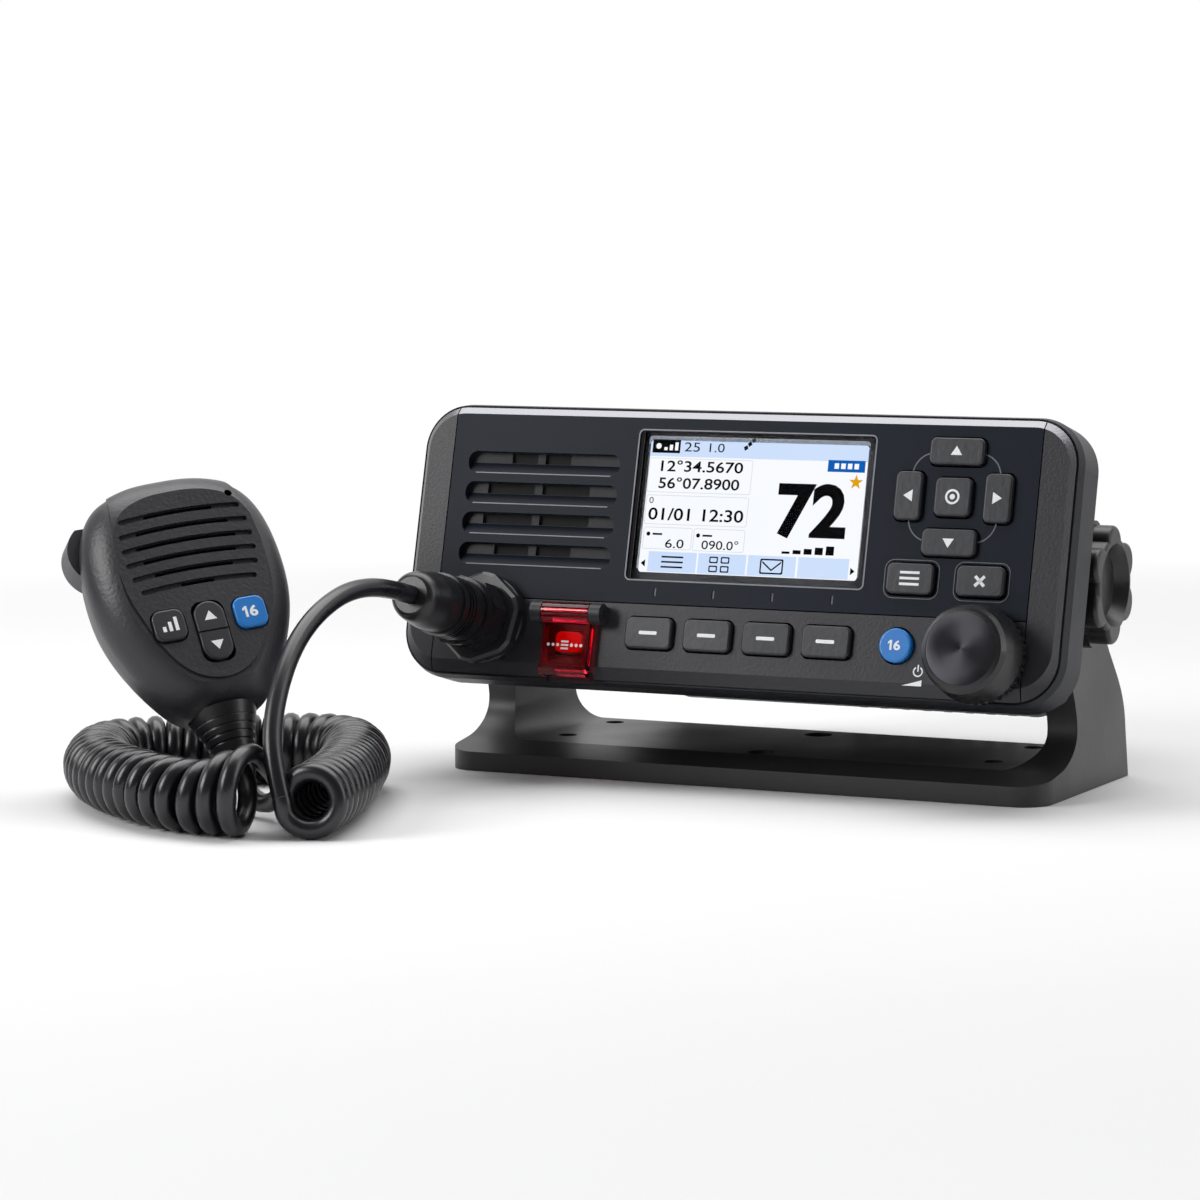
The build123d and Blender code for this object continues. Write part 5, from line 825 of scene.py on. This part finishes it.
def in_a_row(name, marks, count, spacing, plane, material, body):
    """A row of equal marks, made by the row tree and kept as one plain mesh."""
    unit = bpy.data.meshes.new(name + "_unit")
    bmesh.ops.recalc_face_normals(marks.mesh, faces=marks.mesh.faces)
    marks.mesh.to_mesh(unit)
    marks.mesh.free()
    holder = bpy.data.objects.new(name + "_unit", unit)
    bpy.context.scene.collection.objects.link(holder)
    modifier = holder.modifiers.new("row", "NODES")
    modifier.node_group = ROW
    inputs = {
        item.name: item.identifier
        for item in ROW.interface.items_tree
        if item.item_type == "SOCKET" and item.in_out == "INPUT"
    }
    modifier[inputs["Count"]] = count
    modifier[inputs["Spacing"]] = spacing
    modifier[inputs["Finish"]] = material
    depsgraph = bpy.context.evaluated_depsgraph_get()
    mesh = bpy.data.meshes.new_from_object(holder.evaluated_get(depsgraph))
    bpy.data.objects.remove(holder)
    mesh.transform(plane)
    return set_piece(name, mesh, material, body)


# painted highlights on the lower rims of the loudspeaker slots, where they catch the light from above, and
# the marks over the soft keys
SLOT_SPACING = 8.0
SOFT_SPACING = 16.27
# a painted highlight along each slot's lower rim
slot_highlight = Marks(-0.06, 0.03)
slot_highlight.plate(box(-74.2, -6.55, -35.2, -6.3))
in_a_row("slot_rim_highlights", slot_highlight, 4, (0, SLOT_SPACING, 0), FACE, edge_highlight_grey, "radio")
tick = Marks(-0.38, -0.3)
tick.plate(box(-19.6, -12.9, -18.9, -10.7))
in_a_row("key_ticks", tick, 4, (SOFT_SPACING, 0, 0), FACE, outline_grey, "radio")

# middle of the cross of keys, and of the two keys below it
PAD_X, PAD_V = 59.6, 14.95
MENU_X, CLEAR_KEY_X, MENU_V = PAD_X - 9.25, PAD_X + 9.25, -5.75


def arc_band(x, v, radius, width, start, stop, steps=14):
    """A curved strip as a closed outline."""
    angles = [radians(start + (stop - start) * k / steps) for k in range(steps + 1)]
    outer, inner = radius + width / 2, radius - width / 2
    outside = [(x + outer * cos(a), v + outer * sin(a)) for a in angles]
    inside = [(x + inner * cos(a), v + inner * sin(a)) for a in reversed(angles)]
    return outside + inside


# ring line through the four direction keys: a raised grey bead where an engraved groove shows, its grey
# painted for the groove's light and shade
ring_line = Marks(-0.02, 0.06)
for side, rise, start in ((1, 1, 0), (-1, 1, 90), (-1, -1, 180), (1, -1, 270)):
    ring_line.plate(arc_band(PAD_X + side * 5.9, PAD_V + rise * 5.4, 5.7, 0.32, start - 14, start + 102))
ring_line.piece("ring_line", FACE, outline_grey, "radio")
outlines = Marks(-0.02, 0.05)
for x in (MENU_X, CLEAR_KEY_X):
    outlines.band(rounded(x, MENU_V, 14.6, 9.8, 2.5), rounded(x, MENU_V, 14.2, 9.4, 2.3))
outlines.piece("key_outlines", FACE, outline_grey, "radio")

# ---------------------------------------------------------------- marks on the keys
KEY_TOP = 1.5
# print is set this far into what carries it, and stands this proud
PRINT_SUNK = 0.05
PRINT_PROUD = 0.03
# how far the arrows are from the middle of the cross
ARROW_V = 11.6
ARROW_X = 11.8
SOFT_MIDDLE = 5.15
BOTTOM_ROW_V = -22.5
ROUND_KEY_X = 48.2


def on_key(name, shape, body):
    """White marks on the top of one key, moving with it."""
    marks = Marks(KEY_TOP - PRINT_SUNK, KEY_TOP + PRINT_PROUD)
    shape(marks)
    return marks.piece(name, FACE, legend_white, body)


def enter_ring(marks):
    """A ring with a dot in it."""
    marks.band(circle(PAD_X, PAD_V, 1.9), circle(PAD_X, PAD_V, 1.35))
    marks.plate(circle(PAD_X, PAD_V, 0.7, 20))


on_key("up_mark", lambda m: m.plate(triangle(PAD_X, PAD_V + ARROW_V, 3.0, 2.3, 90)), "key_up_cap")
on_key("down_mark", lambda m: m.plate(triangle(PAD_X, PAD_V - ARROW_V, 3.0, 2.3, 270)), "key_down_cap")
on_key("left_mark", lambda m: m.plate(triangle(PAD_X - ARROW_X, PAD_V, 3.0, 2.4, 180)), "key_left_cap")
on_key("right_mark", lambda m: m.plate(triangle(PAD_X + ARROW_X, PAD_V, 3.0, 2.4, 0)), "key_right_cap")
on_key("enter_mark", enter_ring, "key_enter_cap")


def sixteen(marks, x, v, height):
    """The number 16, its 1 drawn with a flag."""
    stroke = height * 0.22
    foot, top = v - height / 2, v + height / 2
    edge = x - height * 0.3
    flag = height * 0.2
    marks.plate([
        (edge - stroke, foot),
        (edge, foot),
        (edge, top),
        (edge - stroke * 0.9, top),
        (edge - stroke - flag, top - flag),
        (edge - stroke - flag, top - flag - stroke),
        (edge - stroke, top - stroke * 1.1),
    ])
    marks.figures("6", x - height * 0.12, foot, x + height * 0.6, top, 0.03)


def menu_bars(marks):
    """Three bars, one over the other."""
    reach, half_height = 2.6, 0.32
    for k in (-1, 0, 1):
        v = MENU_V + 1.45 * k
        marks.plate(box(MENU_X - reach, v - half_height, MENU_X + reach, v + half_height))


def clear_cross(marks):
    """Two bars that cross at right angles."""
    reach, half_width = 1.75, 0.4
    bar = ((reach, half_width), (-reach, half_width), (-reach, -half_width), (reach, -half_width))
    for angle in (pi / 4, -pi / 4):
        marks.plate(turned(CLEAR_KEY_X, MENU_V, bar, angle))


on_key("menu_mark", menu_bars, "key_menu_cap")
on_key("clear_mark", clear_cross, "key_clear_cap")
for k in range(4):
    x = SOFT_MIDDLE + (k - 1.5) * SOFT_SPACING
    on_key(
        f"soft_mark_{k + 1}",
        lambda m: m.plate(rounded(x, BOTTOM_ROW_V, 5.0, 0.9, 0.3, 3)),
        f"soft_key_{k + 1}_cap",
    )
on_key("sixteen_mark", lambda m: sixteen(m, ROUND_KEY_X, BOTTOM_ROW_V, 2.5), "key_sixteen_cap")

# power ring and a volume wedge beside the dial
POWER_X, POWER_V, HALF_STROKE = 54.4, -28.6, 0.17
labels = Marks(-0.02, 0.04)
labels.plate(arc_band(POWER_X, POWER_V, 1.15, 2 * HALF_STROKE, 120, 420, 20))
labels.plate(box(POWER_X - HALF_STROKE, POWER_V, POWER_X + HALF_STROKE, -26.9))
labels.plate([(50.4, -32.2), (55.6, -32.2), (55.6, -30.7)])
labels.piece("dial_labels", FACE, legend_white, "radio")

# ---------------------------------------------------------------- distress cover marks
COVER_X, COVER_V = -41.5, -26.9
cover_marks = Marks(3.18, 3.23)
for k in (-1, 0, 1):
    for side in (-3.3, 3.3):
        cover_marks.plate(circle(COVER_X + 1.35 * k + side, COVER_V, 0.42, 16))
for v in (COVER_V + 0.9, COVER_V, COVER_V - 0.9):
    cover_marks.plate(box(COVER_X - 1.05, v - 0.22, COVER_X + 1.05, v + 0.22))
cover_marks.piece("cover_marks", FACE, legend_white, "distress_flap")

# ---------------------------------------------------------------- spun face of the dial
dial_face_metal = Finish("dial_face_metal", 0.34, metallic=1.0)
dial_face_metal.colour(tone(56, 56, 60), tone(62, 62, 66), 0.004)
dial_face_metal.shader.inputs["Anisotropic"].default_value = 0.85
spun = dial_face_metal.node("ShaderNodeTangent", direction_type="UV_MAP", uv_map="spun")
dial_face_metal.join(spun.outputs["Tangent"], dial_face_metal.shader.inputs["Tangent"])
dial_face_metal.grain(0.0003, 0.000002)

DIAL_X, DIAL_V = 70.6, -24.1
disc = bmesh.new()
uv = disc.loops.layers.uv.new("spun")
# radius and height of each ring, from the rim to the hub
profile = [(9.25, 13.96), (9.2, 14.06), (8.9, 14.1), (6.0, 14.1), (3.0, 14.1), (0.9, 14.09), (0.25, 14.05)]
SPOKES = 96
rings = [
    [
        disc.verts.new((DIAL_X + r * cos(2 * pi * k / SPOKES), DIAL_V + r * sin(2 * pi * k / SPOKES), h))
        for k in range(SPOKES)
    ]
    for r, h in profile
]
for i, (ring, following) in enumerate(zip(rings, rings[1:])):
    for k in range(SPOKES):
        n = (k + 1) % SPOKES
        face = disc.faces.new((ring[k], ring[n], following[n], following[k]))
        for loop, (a, b) in zip(face.loops, ((k, i), (k + 1, i), (k + 1, i + 1), (k, i + 1))):
            loop[uv].uv = (a / SPOKES, b / len(profile))
disc.faces.new(rings[-1])
disc.faces.new(list(reversed(rings[0])))
for face in disc.faces:
    face.smooth = True
dial_mesh = bpy.data.meshes.new("dial_face")
disc.to_mesh(dial_mesh)
disc.free()
dial_mesh.transform(FACE)
set_piece("dial_face", dial_mesh, dial_face_metal.material, "dial", smooth=True)

# ---------------------------------------------------------------- loudspeaker cloth
cloth_black = printed("cloth_black", tone(14, 14, 15), tone(20, 20, 21), 0.8)
cloth = Marks(-3.0, -2.9)
cloth.plate(rounded(-54.75, 8.4, 42.0, 31.0, 3.0))
cloth.piece("speaker_cloth", FACE, cloth_black, "radio")

# ---------------------------------------------------------------- marks on the microphone
MIC_KEY_TOP = 13.2
MIC_KEY_X = 10.5


def on_mic(name, shape, body):
    """White marks on the top of one key of the microphone, moving with it."""
    marks = Marks(MIC_KEY_TOP - PRINT_SUNK, MIC_KEY_TOP + PRINT_PROUD)
    shape(marks)
    return marks.piece(name, MIC, legend_white, body)


def power_bars(marks):
    """Three bars that grow to the right."""
    for k in range(3):
        x = -MIC_KEY_X + 1.6 * (k - 1)
        marks.plate(box(x - 0.45, -10.9, x + 0.45, -9.5 + 1.1 * k))


on_mic("mic_power_mark", power_bars, "mic_left_key")
on_mic("mic_sixteen_mark", lambda m: sixteen(m, MIC_KEY_X, -9.2, 2.9), "mic_right_key")
on_mic(
    "rocker_marks",
    lambda m: m.plate(triangle(0, -8.4, 3.2, 2.4, 90)).plate(triangle(0, -16.4, 3.2, 2.4, 270)),
    "mic_channel",
)

# ---------------------------------------------------------------- floor, light and camera
STUDIO_FILL = 0.12
STUDIO_FRONT = 0.12
FLOOR_HALF = 1.2
FLOOR_LEVEL = -0.0001
# the studio brightens between these ways, -1 towards the front and 1 towards the back
FRONT_WAY = -0.25
BACK_WAY = 0.35
# the floor turns pure white between these distances from the middle
FADE_START = 0.3
FADE_END = 0.62

floor_paint = Finish("floor_paint", 0.9, specular=0.1)
floor_paint.colour(tone(236, 236, 237))
far = floor_paint.node("ShaderNodeVectorMath", operation="LENGTH")
floor_paint.join(floor_paint.place, far.inputs[0])
fade = floor_paint.spread(far.outputs["Value"], 0, 1, FADE_START, FADE_END)
path = floor_paint.node("ShaderNodeLightPath")
seen = floor_paint.math("MULTIPLY", path.outputs["Is Camera Ray"], fade)
white = floor_paint.node("ShaderNodeEmission")
mixer = floor_paint.node("ShaderNodeMixShader")
floor_paint.join(seen, mixer.inputs[0])
floor_paint.join(floor_paint.shader.outputs["BSDF"], mixer.inputs[1])
floor_paint.join(white.outputs["Emission"], mixer.inputs[2])
output = floor_paint.tree.nodes["Material Output"]
floor_paint.join(mixer.outputs["Shader"], output.inputs["Surface"])

floor_mesh = bpy.data.meshes.new("floor")
floor_corners = box(-FLOOR_HALF, -FLOOR_HALF, FLOOR_HALF, FLOOR_HALF)
floor_mesh.from_pydata([(x, y, FLOOR_LEVEL) for x, y in floor_corners], [], [(0, 1, 2, 3)])
floor_mesh.materials.append(floor_paint.material)
floor = bpy.data.objects.new("floor", floor_mesh)
bpy.context.scene.collection.objects.link(floor)

world = bpy.data.worlds.new("studio")
world.use_nodes = True
bpy.context.scene.world = world
studio = world.node_tree
sky = studio.nodes["Background"]
sky.inputs["Color"].default_value = (1, 1, 1, 1)

# white where it is seen, reflected or seen through clear parts, but the studio in front is dark
rays = add_node(studio, "ShaderNodeLightPath")
place = add_node(studio, "ShaderNodeTexCoord")
direction = add_node(studio, "ShaderNodeSeparateXYZ")
studio.links.new(place.outputs["Generated"], direction.inputs["Vector"])
behind = add_node(studio, "ShaderNodeMapRange", interpolation_type="SMOOTHSTEP")
behind.inputs["From Min"].default_value = FRONT_WAY
behind.inputs["From Max"].default_value = BACK_WAY
behind.inputs["To Min"].default_value = STUDIO_FRONT
behind.inputs["To Max"].default_value = 1.0
studio.links.new(direction.outputs["Y"], behind.inputs["Value"])
mirrored = add_math(studio, "MULTIPLY", rays.outputs["Is Glossy Ray"], behind.outputs["Result"])
seen_white = add_math(studio, "MAXIMUM", rays.outputs["Is Camera Ray"], rays.outputs["Is Transmission Ray"])
brightest = add_math(studio, "MAXIMUM", mirrored, seen_white)
studio.links.new(add_math(studio, "MAXIMUM", brightest, STUDIO_FILL), sky.inputs["Strength"])


def softbox(name, place, aim, width, height, power):
    """A rectangular lamp at a place, turned to its aim; metres and watts."""
    light = bpy.data.lights.new(name, "AREA")
    light.shape = "RECTANGLE"
    light.size = width
    light.size_y = height
    light.energy = power
    made = bpy.data.objects.new(name, light)
    made.location = place
    made.rotation_euler = (Vector(aim) - Vector(place)).to_track_quat("-Z", "Y").to_euler()
    bpy.context.scene.collection.objects.link(made)


softbox("overhead", (-0.1, 0.12, 0.95), (-0.05, -0.05, 0.04), 1.3, 0.8, 11)
softbox("left_front", (-0.8, -0.75, 0.6), (-0.03, -0.05, 0.04), 0.5, 0.6, 6)
softbox("left_strip", (-0.66, -1.02, 0.48), (-0.09, -0.05, 0.05), 0.1, 0.55, 2.5)
softbox("right_edge", (0.9, 0.1, 0.45), (0.0, -0.03, 0.05), 0.25, 0.8, 1.6)

CAMERA_PLACE = Vector((0.43982, -0.99009, 0.15589))
SENSOR_WIDTH = 36.0
# focal length and frame in pixels
FOCAL = 4189.0
FRAME = 1200.0
azimuth, elevation, roll = radians(26.474), radians(5.835), radians(-0.242)
ahead = Vector((-sin(azimuth) * cos(elevation), cos(azimuth) * cos(elevation), -sin(elevation)))
level_right = Vector((cos(azimuth), sin(azimuth), 0))
level_up = level_right.cross(ahead)
right = cos(roll) * level_right + sin(roll) * level_up
up = cos(roll) * level_up - sin(roll) * level_right
lens = bpy.data.cameras.new("camera")
lens.sensor_width = SENSOR_WIDTH
lens.lens = FOCAL * SENSOR_WIDTH / FRAME
lens.clip_start = 0.05
camera = bpy.data.objects.new("camera", lens)
axes = Matrix((right, up, -ahead)).transposed().to_4x4()
camera.matrix_world = Matrix.Translation(CAMERA_PLACE) @ axes
bpy.context.scene.collection.objects.link(camera)
bpy.context.scene.camera = camera
bpy.context.scene.view_settings.view_transform = "Standard"
